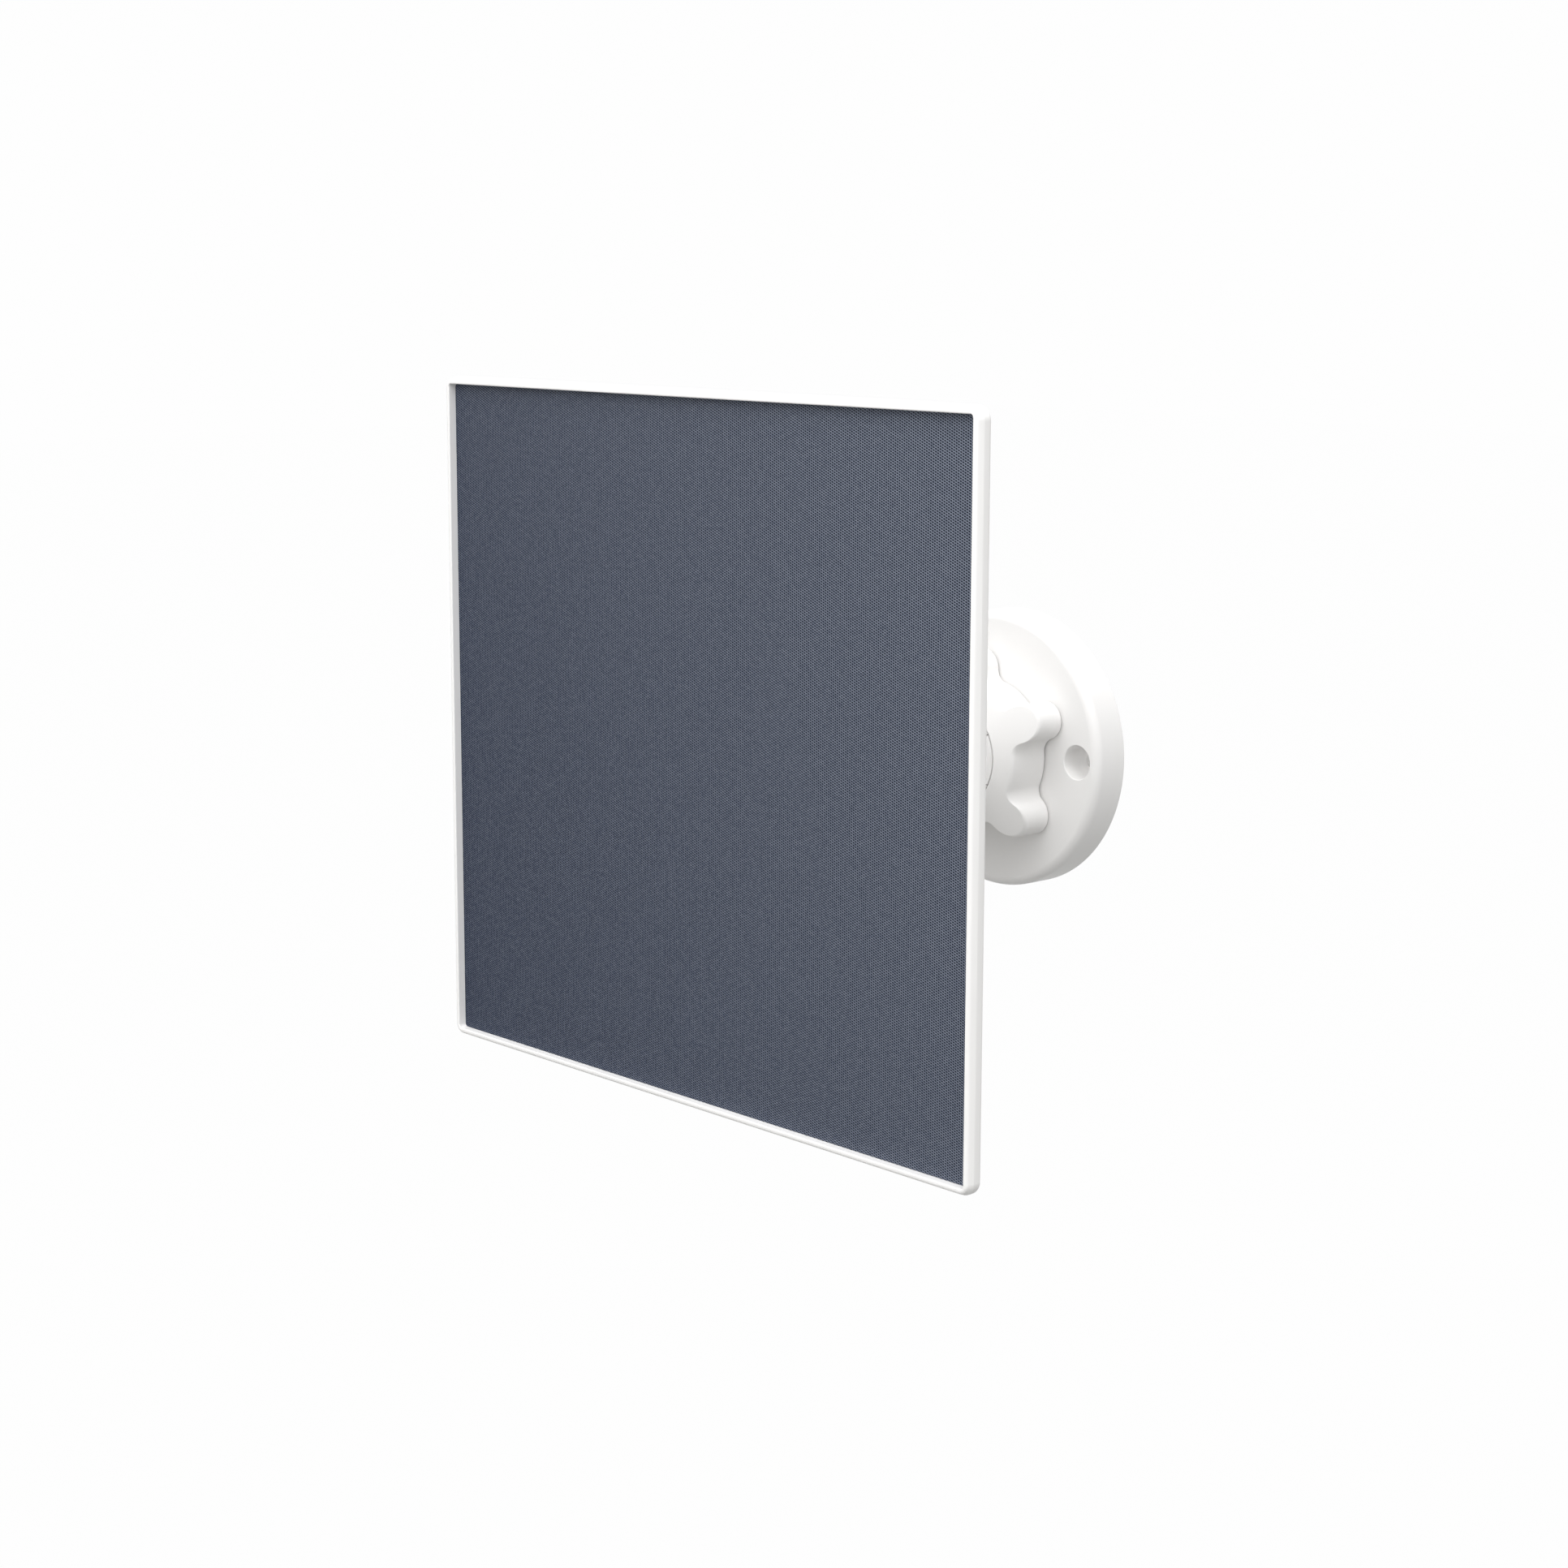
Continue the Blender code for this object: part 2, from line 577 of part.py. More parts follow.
def cover_screw(angle):
    """Pan-head screw through the housing into a pillar of the tray."""
    seat = HOUSING_INSIDE + SCREW_SEAT_WALL + SEAT_GAP
    head_top = seat + SCREW_HEAD_HEIGHT
    tip = HOUSING_INSIDE + SCREW_SEAT_WALL - SCREW_LENGTH + SEAT_GAP
    section = rounded([
        (0.0, tip, 0.0),
        (SCREW_SHANK_R, tip, 0.0),
        (SCREW_SHANK_R, seat, 0.0),
        (SCREW_HEAD_R, seat, 0.0),
        (SCREW_HEAD_R, head_top, SCREW_HEAD_HEIGHT / 2.0),
        (0.0, head_top, 0.0),
    ], steps=TRIM_ARC_STEPS)
    shape = turned([(radius, behind_rim(depth)) for radius, depth in section], FINE_STEPS)
    return turned_round(moved(shape, (SCREW_CIRCLE_R, 0, 0)), angle)


def regulator_board():
    """Small circuit board on the tray's two ribs."""
    front = behind_rim(CIRCUIT_FRONT)
    return block((-CIRCUIT_SIDE_X, front, CIRCUIT_BASE_Z),
                 (CIRCUIT_SIDE_X, front + CIRCUIT_THICKNESS, CIRCUIT_TOP_Z))


def blocking_diode():
    """Moulded diode body on the circuit board, chamfered round its top."""
    half = DIODE_SIZE / 2.0
    front = behind_rim(CIRCUIT_FRONT + CIRCUIT_THICKNESS + SEAT_GAP)
    shape = block((-half.x, front, CIRCUIT_MIDDLE_Z - half.z),
                  (half.x, front + DIODE_SIZE.y, CIRCUIT_MIDDLE_Z + half.z))
    top = [edge for edge in shape.edges if all(vert.co.y > front + half.y for vert in edge.verts)]
    bmesh.ops.bevel(shape, geom=top, offset=DIODE_CHAMFER, segments=1, affect="EDGES")
    return shape


def board_lead(side):
    """Pin from the backing board, through the tray's slot, to the circuit board."""
    front = behind_rim(BOARD_FRONT + BOARD_THICKNESS + SEAT_GAP)
    back = behind_rim(CIRCUIT_FRONT - SEAT_GAP)
    pin = cylinder(LEAD_R, front, back, FINE_STEPS)
    return moved(pin, (side * LEAD_X, 0.0, CIRCUIT_MIDDLE_Z))


def threaded_insert():
    """Insert with a groove round its waist that the moulded boss grips."""
    groove_front = (INSERT_FRONT + INSERT_BACK - INSERT_GROOVE_WIDTH) / 2.0
    groove_back = groove_front + INSERT_GROOVE_WIDTH
    section = [
        (STUD_BORE_R, INSERT_FRONT),
        (INSERT_R, INSERT_FRONT),
        (INSERT_R, groove_front),
        (INSERT_R - INSERT_GROOVE, groove_front),
        (INSERT_R - INSERT_GROOVE, groove_back),
        (INSERT_R, groove_back),
        (INSERT_R, INSERT_BACK),
        (STUD_BORE_R, INSERT_BACK),
    ]
    section = [(radius, behind_rim(depth)) for radius, depth in section]
    return turned(section, SMALL_STEPS, closed=True)


def grip_washer():
    """Washer that the jam wheel squeezes against the housing's pad."""
    front = behind_rim(WASHER_FRONT)
    back = behind_rim(WASHER_FRONT + WASHER_THICKNESS)
    section = [(STUD_BORE_R, front), (WASHER_R, front), (WASHER_R, back), (STUD_BORE_R, back)]
    return turned(section, SMALL_STEPS, closed=True)


def stem_stud():
    """Stud from inside the stem's end to inside the insert."""
    tip = behind_rim(PAD_BACK - STUD_IN_INSERT)
    root = behind_rim(STEM_FRONT + STUD_IN_STEM)
    section = [
        (0.0, tip),
        (STUD_R - STUD_TIP_CHAMFER, tip),
        (STUD_R, tip + STUD_TIP_CHAMFER),
        (STUD_R, root),
        (0.0, root),
    ]
    return turned(section, SMALL_STEPS)


def fluted_outline(radius, flute_depth, flutes, points_per_flute):
    """Angle and radius of each point round a rim with shallow finger flutes."""
    outline = []
    for k in range(flutes * points_per_flute):
        phase = k / points_per_flute
        angle = 2.0 * math.pi * phase / flutes
        dip = 0.5 - 0.5 * math.cos(2.0 * math.pi * phase)
        outline.append((angle, radius - flute_depth * dip))
    return outline


def lobed_outline():
    """Angle and radius of each point round the lock ring: round tips, round valleys, fillets between."""
    tip_centre = RING_TIP_R - RING_TIP_ROUND_R
    fillet_centre = RING_VALLEY_R + RING_VALLEY_FILLET
    span = RING_TIP_ROUND_R + RING_VALLEY_FILLET
    cosine = (fillet_centre ** 2 + tip_centre ** 2 - span ** 2) / (2.0 * fillet_centre * tip_centre)
    fillet_angle = math.acos(cosine)
    fillet_x = fillet_centre * math.cos(fillet_angle)
    fillet_z = fillet_centre * math.sin(fillet_angle)
    meet_angle = math.atan2(fillet_z, fillet_x - tip_centre)
    half_pitch = math.pi / RING_LOBES
    half_lobe = arc(tip_centre, 0.0, RING_TIP_ROUND_R, 0.0, meet_angle, TIP_ARC_STEPS)
    half_lobe += arc(fillet_x, fillet_z, RING_VALLEY_FILLET, meet_angle - math.pi,
                     fillet_angle - math.pi, COARSE_ARC_STEPS)[1:]
    half_lobe += arc(0.0, 0.0, RING_VALLEY_R, fillet_angle, half_pitch, TRIM_ARC_STEPS)[1:]
    polar = [(math.atan2(point.y, point.x), point.length) for point in half_lobe]
    lobe = [(-angle, radius) for angle, radius in reversed(polar[1:-1])] + polar
    outline = []
    for k in range(RING_LOBES):
        turn = RING_FIRST_LOBE + 2.0 * math.pi * k / RING_LOBES
        outline += [(turn + angle, radius) for angle, radius in lobe]
    return outline


def ring_of_sections(outline, section_of):
    """Closed ring whose section changes with the outline's radius."""
    loops = []
    for angle, radius in outline:
        loops.append([(a * math.cos(angle), y, a * math.sin(angle)) for a, y in section_of(radius)])
    return lofted(loops, ring=True)


def lock_ring_section(radius):
    """Section of the lock ring where its outline has this radius."""
    edge_y = RING_FRONT_Y + RING_CONE_SLOPE * (radius - RING_MOUTH_R)
    throat_y = RING_FRONT_Y + RING_MOUTH_LIP
    bore_end_y = throat_y + (RING_BORE_R - RING_MOUTH_R)
    return rounded([
        (RING_BORE_R, RING_REAR_Y, 0.0),
        (radius, RING_REAR_Y, RING_REAR_FILLET),
        (radius, edge_y, RING_EDGE_FILLET),
        (RING_MOUTH_R, RING_FRONT_Y, 0.0),
        (RING_MOUTH_R, throat_y, 0.0),
        (RING_BORE_R, bore_end_y, 0.0),
    ], steps=COARSE_ARC_STEPS)


def jam_wheel_section(radius):
    """Section of the jam wheel where its outline has this radius."""
    front = behind_rim(WHEEL_FRONT)
    back = behind_rim(WHEEL_FRONT + WHEEL_THICKNESS)
    return rounded([
        (STUD_BORE_R, back, 0.0),
        (STUD_BORE_R, front, 0.0),
        (radius, front, WHEEL_FILLET),
        (radius, back, WHEEL_FILLET),
    ], steps=TRIM_ARC_STEPS)


def lock_ring():
    """Conical ring with finger lobes, round the split socket."""
    return ring_of_sections(lobed_outline(), lock_ring_section)


def jam_wheel():
    """Fluted wheel on the stud."""
    outline = fluted_outline(WHEEL_R, WHEEL_FLUTE_DEPTH, WHEEL_FLUTES, FLUTE_STEPS)
    return ring_of_sections(outline, jam_wheel_section)


def ball_stem():
    """Ball, neck, tapered arm and end flange, with a blind bore for the stud."""
    neck_angle = math.asin(STEM_NECK_R / BALL_R)
    ball = arc(0.0, BALL_Y, BALL_R, math.pi / 2.0, neck_angle - math.pi / 2.0, BALL_ARC_STEPS)
    neck_y = ball[-1].y
    end_y = behind_rim(STEM_FRONT)
    flange_y = end_y + STEM_FLANGE_LENGTH
    bore_floor_y = end_y + STUD_IN_STEM + SEAT_GAP
    arm = rounded([
        (STEM_NECK_R, neck_y, 0.0),
        (STEM_NECK_R, neck_y - STEM_NECK_LENGTH / 2.0, STEM_FILLET),
        (STEM_WAIST_R, neck_y - STEM_NECK_LENGTH, STEM_FILLET),
        (STEM_END_R, flange_y + STEM_FILLET, STEM_FILLET),
        (STEM_FLANGE_R, flange_y, STEM_FILLET / 2.0),
        (STEM_FLANGE_R, end_y, STEM_FILLET / 2.0),
        (STUD_BORE_R, end_y, 0.0),
        (STUD_BORE_R, bore_floor_y, 0.0),
        (0.0, bore_floor_y, 0.0),
    ], steps=COARSE_ARC_STEPS)
    return turned(ball + arm[1:], STEM_STEPS)


def ball_seat():
    """Cup-shaped friction pad under the ball."""
    rim_angle = math.acos(SEAT_R / SOCKET_R)
    cup = arc(0.0, BALL_Y, SOCKET_R, math.pi / 2.0, rim_angle, CUP_ARC_STEPS)
    back_y = -PLATE_FLOOR - SEAT_GAP
    return turned([(0.0, back_y), (SEAT_R, back_y)] + list(reversed(cup)), STEM_STEPS)


def wall_plate():
    """Cored plate with ribs, screw bosses and the split spherical socket."""
    skin_y = PLATE_FRONT_Y + PLATE_SKIN
    rim_inner_r = PLATE_R - PLATE_SKIN
    pocket_r = SEAT_R + SEAT_GAP
    shoulder_y = LIP_Y + SOCKET_LIP_LAND
    cone_y = shoulder_y + (SOCKET_OUTER_R - LIP_OUTER_R)
    lip_angle = -math.asin(SOCKET_LIP_RISE / SOCKET_R)
    pocket_angle = math.acos(pocket_r / SOCKET_R)
    outside = rounded([
        (0.0, 0.0, 0.0),
        (PLATE_CORE_R, 0.0, 0.0),
        (PLATE_CORE_R, skin_y, 0.0),
        (rim_inner_r, skin_y, 0.0),
        (rim_inner_r, 0.0, 0.0),
        (PLATE_R, 0.0, PLATE_REAR_FILLET),
        (PLATE_R, PLATE_FRONT_Y, PLATE_FRONT_FILLET),
        (SOCKET_OUTER_R, PLATE_FRONT_Y, 0.0),
        (SOCKET_OUTER_R, cone_y, 0.0),
        (LIP_OUTER_R, shoulder_y, 0.0),
        (LIP_OUTER_R, LIP_Y, 0.0),
    ])
    socket = arc(0.0, BALL_Y, SOCKET_R, lip_angle, pocket_angle, CUP_ARC_STEPS)
    pocket = [Vector((pocket_r, -PLATE_FLOOR)), Vector((0.0, -PLATE_FLOOR))]
    plate = turned(outside + socket + pocket, PLATE_STEPS)
    for k in range(PLATE_RIBS):
        rib = block((PLATE_CORE_R - PLATE_SKIN / 2, skin_y - PLATE_SKIN / 2, -PLATE_RIB_THICKNESS / 2),
                    (PLATE_R - PLATE_SKIN / 2, -PLATE_RIB_SETBACK, PLATE_RIB_THICKNESS / 2))
        plate = combine(plate, turned_round(rib, 2.0 * math.pi * k / PLATE_RIBS), "UNION")
    hole = rounded([
        (0.0, SEAT_GAP, 0.0),
        (WALL_HOLE_R, SEAT_GAP, 0.0),
        (WALL_HOLE_R, PLATE_FRONT_Y + COUNTERBORE_DEPTH, 0.0),
        (COUNTERBORE_R, PLATE_FRONT_Y + COUNTERBORE_DEPTH, COUNTERBORE_FILLET),
        (COUNTERBORE_R, PLATE_FRONT_Y - SEAT_GAP, 0.0),
        (0.0, PLATE_FRONT_Y - SEAT_GAP, 0.0),
    ], steps=COARSE_ARC_STEPS)
    for k in range(WALL_HOLES):
        angle = 2.0 * math.pi * k / WALL_HOLES
        boss = cylinder(COUNTERBORE_R + WALL_BOSS_WALL, skin_y - PLATE_SKIN / 2, -WALL_BOSS_SETBACK)
        boss = turned_round(moved(boss, (WALL_HOLE_CIRCLE_R, 0, 0)), angle)
        plate = combine(plate, boss, "UNION")
        cutter = turned_round(moved(turned(hole, SMALL_STEPS), (WALL_HOLE_CIRCLE_R, 0, 0)), angle)
        plate = combine(plate, cutter, "DIFFERENCE")
    for k in range(SOCKET_SLOT_PAIRS):
        slot = block((-2 * SOCKET_OUTER_R, LIP_Y - SEAT_GAP, -SOCKET_SLOT_WIDTH / 2),
                     (2 * SOCKET_OUTER_R, PLATE_FRONT_Y - SOCKET_SLOT_FLOOR, SOCKET_SLOT_WIDTH / 2))
        plate = combine(plate, turned_round(slot, math.pi * (k + 0.5) / SOCKET_SLOT_PAIRS), "DIFFERENCE")
    return plate


def main():
    """Build every piece on the pivot that carries it."""
    remove_everything()

    white = finish("white_abs", (0.83, 0.83, 0.82), 0.42)
    film = finish("textured_film", (0.085, 0.098, 0.130), 0.50)
    silicon = finish("silicon", (0.012, 0.016, 0.035), 0.30)
    board = finish("glass_fibre_board", (0.16, 0.20, 0.12), 0.55)
    tape = finish("bonding_tape", (0.05, 0.05, 0.05), 0.80)
    rubber = finish("black_rubber", (0.03, 0.03, 0.03), 0.75)
    friction_pad = finish("grey_rubber", (0.20, 0.20, 0.20), 0.80)
    steel = finish("stainless_steel", (0.60, 0.60, 0.60), 0.28, 1.0)
    brass = finish("brass", (0.72, 0.52, 0.20), 0.30, 1.0)
    circuit = finish("green_circuit_board", (0.02, 0.16, 0.06), 0.45)
    epoxy = finish("black_epoxy", (0.02, 0.02, 0.02), 0.50)
    tin = finish("tinned_copper", (0.68, 0.66, 0.62), 0.30, 1.0)

    ball_centre = (0.0, BALL_Y, 0.0)
    stem_end = (0.0, behind_rim(STEM_FRONT), 0.0)
    bracket = pivot("bracket_frame", (0.0, 0.0, 0.0))
    ring_axis = pivot("lock_ring_axis", (0.0, RING_REAR_Y, 0.0), bracket)
    spin_axis = pivot("ball_spin_axis", ball_centre, bracket)
    tilt_axis = pivot("ball_tilt_axis", ball_centre, spin_axis)
    wheel_axis = pivot("jam_wheel_axis", stem_end, tilt_axis)
    roll_axis = pivot("panel_roll_axis", stem_end, tilt_axis)

    piece("wall_plate", wall_plate(), white, bracket)
    piece("lock_ring", lock_ring(), white, ring_axis)
    piece("ball_seat", ball_seat(), friction_pad, spin_axis)
    piece("ball_stem", ball_stem(), white, tilt_axis)
    piece("stem_stud", stem_stud(), steel, tilt_axis)
    piece("jam_wheel", jam_wheel(), white, wheel_axis)

    piece("panel_tray", panel_tray(), white, roll_axis)
    piece("cover_film", cover_film(), film, roll_axis)
    piece("backing_board", backing_board(), board, roll_axis)
    piece("board_tape", board_tape(), tape, roll_axis)
    for column in range(CELL_COLUMNS):
        for row in range(CELL_ROWS):
            number = column * CELL_ROWS + row + 1
            piece(f"solar_cell_{number:02d}", solar_cell(column, row), silicon, roll_axis)

    piece("rear_housing", rear_housing(), white, roll_axis)
    piece("housing_gasket", housing_gasket(), rubber, roll_axis)
    piece("threaded_insert", threaded_insert(), brass, roll_axis)
    piece("grip_washer", grip_washer(), rubber, roll_axis)
    piece("cable_gland", cable_gland(), rubber, roll_axis)
    for number, angle in enumerate(screw_places(), start=1):
        piece(f"cover_screw_{number}", cover_screw(angle), steel, roll_axis)
    piece("regulator_board", regulator_board(), circuit, roll_axis)
    piece("blocking_diode", blocking_diode(), epoxy, roll_axis)
    piece("positive_lead", board_lead(1), tin, roll_axis)
    piece("negative_lead", board_lead(-1), tin, roll_axis)


main()
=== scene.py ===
# %% [markdown]
# A small solar panel on a ball-joint wall bracket, dressed for a studio picture.
# The measured model comes in as a fixed frame: every body, joint and size is already in it. This
# lesson adds what the eye needs on top, which is fine fillets, flutes, threads, screw recesses and
# surfaces that look like moulded plastic, embossed film, rubber and metal.
# Lengths are written in millimetres and multiplied by MM, because Blender works in metres.

import json
import math

import bmesh
import bpy
from mathutils import Matrix, Vector


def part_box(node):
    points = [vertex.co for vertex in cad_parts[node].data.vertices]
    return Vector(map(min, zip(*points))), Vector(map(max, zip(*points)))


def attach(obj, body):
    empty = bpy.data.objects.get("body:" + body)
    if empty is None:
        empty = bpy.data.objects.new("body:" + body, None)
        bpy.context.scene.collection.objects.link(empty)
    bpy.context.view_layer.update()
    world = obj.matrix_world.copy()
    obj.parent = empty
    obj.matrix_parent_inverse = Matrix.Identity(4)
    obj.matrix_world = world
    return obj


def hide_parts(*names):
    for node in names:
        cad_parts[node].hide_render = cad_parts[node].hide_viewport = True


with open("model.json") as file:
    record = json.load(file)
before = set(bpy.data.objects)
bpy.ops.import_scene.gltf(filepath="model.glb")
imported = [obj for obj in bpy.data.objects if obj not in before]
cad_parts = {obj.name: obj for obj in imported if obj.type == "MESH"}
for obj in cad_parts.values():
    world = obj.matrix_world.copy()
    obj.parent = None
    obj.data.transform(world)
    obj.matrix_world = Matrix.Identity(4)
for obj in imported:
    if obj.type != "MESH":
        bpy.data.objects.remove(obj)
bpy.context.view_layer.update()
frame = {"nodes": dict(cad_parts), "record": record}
scene = bpy.context.scene
nodes = frame["nodes"]
MM = 0.001

# %% [markdown]
# The camera stands where the photographer's stood: to the right of the panel and a little above it.
# Its place and its lens were solved from the photo, so the rim's lines run to the same vanishing
# points. A camera looks along its own -Z axis, so the third column of its matrix is the viewing
# direction turned round.

# %% Camera
CAMERA_PLACE = Vector((523.1, -549.6, 123.2)) * MM
CAMERA_RIGHT = Vector((0.6669, 0.7451, 0.0026))
CAMERA_UP = Vector((-0.1313, 0.1140, 0.9848))
CAMERA_LENS = 69.41
CAMERA_SENSOR = 36.0
CAMERA_NEAR = 0.01
CAMERA_FAR = 50.0

right = CAMERA_RIGHT.normalized()
backward = right.cross(CAMERA_UP).normalized()
upward = backward.cross(right)
lens = bpy.data.cameras.new("photo_lens")
lens.lens = CAMERA_LENS
lens.sensor_width = CAMERA_SENSOR
lens.clip_start = CAMERA_NEAR
lens.clip_end = CAMERA_FAR
camera = bpy.data.objects.new("photo_camera", lens)
turned_camera = Matrix((right, upward, backward)).transposed().to_4x4()
camera.matrix_world = Matrix.Translation(CAMERA_PLACE) @ turned_camera
scene.collection.objects.link(camera)
scene.camera = camera
print("camera looks along", [round(-part, 3) for part in backward])

# %% [markdown]
# Every tree in this lesson, for materials, light and repeated shapes, is built with one small
# function. It adds a node, sets its options, and gives each input either a plain value or a link.
# Colours are picked as they look on a screen, in hexadecimal, and turned to linear light once, here.

# %% Nodes and colours
def add_node(tree, kind, inputs=None, **settings):
    """Add a node, set its options, and fill each named input with a value or a link."""
    node = tree.nodes.new(kind)
    for option, value in settings.items():
        setattr(node, option, value)
    for key, value in (inputs or {}).items():
        if isinstance(value, bpy.types.NodeSocket):
            tree.links.new(value, node.inputs[key])
        else:
            node.inputs[key].default_value = value
    return node


def linear(code):
    """Linear colour with full alpha from a hexadecimal screen colour."""
    channels = []
    for start in (1, 3, 5):
        value = int(code[start:start + 2], 16) / 255.0
        channels.append(value / 12.92 if value <= 0.04045 else ((value + 0.055) / 1.055) ** 2.4)
    return (*channels, 1.0)


print("mid grey in linear light", [round(channel, 3) for channel in linear("#808080")])

# %% [markdown]
# The picture has no set to speak of: a product floating in white, lit softly from all round and a
# bit more from overhead. A floor of matt paper lies well below the panel. Rays that go straight to the
# camera, or to it by a mirror or through glass, see it as plain white. The rest see its grey, which
# throws only a little light back up and keeps a trace of the object's shadow.

# %% Floor
FLOOR_DROP = 330.0 * MM
FLOOR_SIZE = 12.0
FLOOR_WHITE = 0.985


def seen_directly(tree):
    """One for rays from the camera, a mirror or clear glass, and zero for light that falls on things."""
    path = add_node(tree, "ShaderNodeLightPath").outputs
    seen = path["Is Camera Ray"]
    for ray in ("Is Glossy Ray", "Is Transmission Ray"):
        seen = add_node(tree, "ShaderNodeMath", {0: seen, 1: path[ray]}, operation="MAXIMUM").outputs[0]
    return seen


floor_mesh = bpy.data.meshes.new("studio_floor")
floor_shape = bmesh.new()
bmesh.ops.create_grid(floor_shape, x_segments=1, y_segments=1, size=FLOOR_SIZE / 2.0)
bmesh.ops.translate(floor_shape, verts=floor_shape.verts, vec=(0.0, 0.0, -FLOOR_DROP))
floor_shape.to_mesh(floor_mesh)
floor_shape.free()
studio_floor = bpy.data.objects.new("studio_floor", floor_mesh)
scene.collection.objects.link(studio_floor)

paper = bpy.data.materials.new("matt_paper_sweep")
paper.use_nodes = True
tree = paper.node_tree
tree.nodes.clear()
share = add_node(tree, "ShaderNodeMath", {0: seen_directly(tree), 1: FLOOR_WHITE}, operation="MULTIPLY")
matt = add_node(tree, "ShaderNodeBsdfDiffuse", {"Color": linear("#868684")})
white = add_node(tree, "ShaderNodeEmission", {"Color": linear("#FFFFFF"), "Strength": 1.0})
mixed = add_node(tree, "ShaderNodeMixShader",
                 {0: share.outputs[0], 1: matt.outputs[0], 2: white.outputs[0]})
add_node(tree, "ShaderNodeOutputMaterial", {"Surface": mixed.outputs[0]})
floor_mesh.materials.append(paper)
print("floor", round(FLOOR_DROP / MM), "mm below the bracket's axis")

# %% [markdown]
# Most of the light on the object comes from the surround, which is bright above and dim below, as in a
# tent of white cloth. The camera, mirrors and glass see it as plain white too. A world's Generated
# coordinate is the direction of the ray, so its Z says how far up the ray looks.

# %% Surround
SURROUND_WHITE = 0.99
SKY_LIGHT = 1.1
GROUND_LIGHT = 0.20

surround = bpy.data.worlds.new("white_surround")
surround.use_nodes = True
scene.world = surround
tree = surround.node_tree
tree.nodes.clear()
direction = add_node(tree, "ShaderNodeTexCoord")
parts = add_node(tree, "ShaderNodeSeparateXYZ", {0: direction.outputs["Generated"]})
height = add_node(tree, "ShaderNodeMapRange",
                  {"Value": parts.outputs["Z"], "From Min": -1.0, "From Max": 1.0,
                   "To Min": GROUND_LIGHT, "To Max": SKY_LIGHT})
soft = add_node(tree, "ShaderNodeBackground",
                {"Color": linear("#FFFFFF"), "Strength": height.outputs[0]})
plain = add_node(tree, "ShaderNodeBackground",
                 {"Color": linear("#FFFFFF"), "Strength": SURROUND_WHITE})
mixed = add_node(tree, "ShaderNodeMixShader",
                 {0: seen_directly(tree), 1: soft.outputs[0], 2: plain.outputs[0]})
add_node(tree, "ShaderNodeOutputWorld", {"Surface": mixed.outputs[0]})
print("surround gives", SKY_LIGHT, "from above and", GROUND_LIGHT, "from below")

# %% [markdown]
# Three weak softboxes help the surround: a wide one overhead, one in front that fills the shadow under
# the panel's rim, and one for the back. With the surround they add up to about one, so a colour renders
# as it is written and the white plastic keeps its shading.

# %% Softboxes
SOFTBOX_AIM = Vector((0.0, -60.0, 0.0)) * MM
SOFTBOXES = [
    # name, place in millimetres, side in metres, power in watts
    ("overhead_softbox", (270.0, -560.0, 690.0), 1.0, 7.4),
    ("front_softbox", (200.0, -1000.0, 180.0), 1.0, 1.0),
    ("back_softbox", (-350.0, 760.0, 300.0), 0.8, 1.3),
]

for name, place, side, power in SOFTBOXES:
    lamp = bpy.data.lights.new(name, "AREA")
    lamp.shape = "SQUARE"
    lamp.size = side
    lamp.energy = power
    stand = bpy.data.objects.new(name, lamp)
    stand.location = Vector(place) * MM
    stand.rotation_euler = (SOFTBOX_AIM - stand.location).to_track_quat("-Z", "Y").to_euler()
    stand.visible_camera = False
    scene.collection.objects.link(stand)
    print(name, power, "W")
scene.view_settings.view_transform = "Standard"

# %% [markdown]
# A material starts from what the real surface is and how it was made. Each starts here with its base
# colour, roughness and metallic, and reads Object coordinates, which are metres in the model's own
# frame, so a pattern's scale is worked out from a size in millimetres.

# %% How a material starts
def start_material(name, code, roughness, metallic=0.0):
    """A new material with a shader, and the object's own coordinates to drive its patterns."""
    material = bpy.data.materials.new(name)
    material.use_nodes = True
    tree = material.node_tree
    shader = tree.nodes["Principled BSDF"]
    shader.inputs["Base Color"].default_value = linear(code)
    shader.inputs["Roughness"].default_value = roughness
    shader.inputs["Metallic"].default_value = metallic
    place = add_node(tree, "ShaderNodeTexCoord").outputs["Object"]
    return material, tree, shader, place


print("a pattern that repeats every millimetre has a scale of", round(1.0 / MM))

# %% [markdown]
# The white pieces are moulded ABS from a spark-eroded tool: a satin skin with a very fine grain, a
# slow drift of gloss where the melt cooled at different rates, and a hardly visible drift of tone.
# The grain of a real tool is near a twentieth of a millimetre, too fine for this picture, so it is
# drawn at a third of a millimetre.

# %% White moulded ABS
ABS_GRAIN = 0.35 * MM
ABS_GRAIN_DEPTH = 0.004 * MM
ABS_GRAIN_STRENGTH = 0.35
ABS_FLOW = 24.0 * MM
ABS_ROUGHNESS = 0.44
ABS_ROUGHNESS_DRIFT = 0.05
NOISE_LOW, NOISE_HIGH = 0.3, 0.7  # most of a noise texture's values lie between these

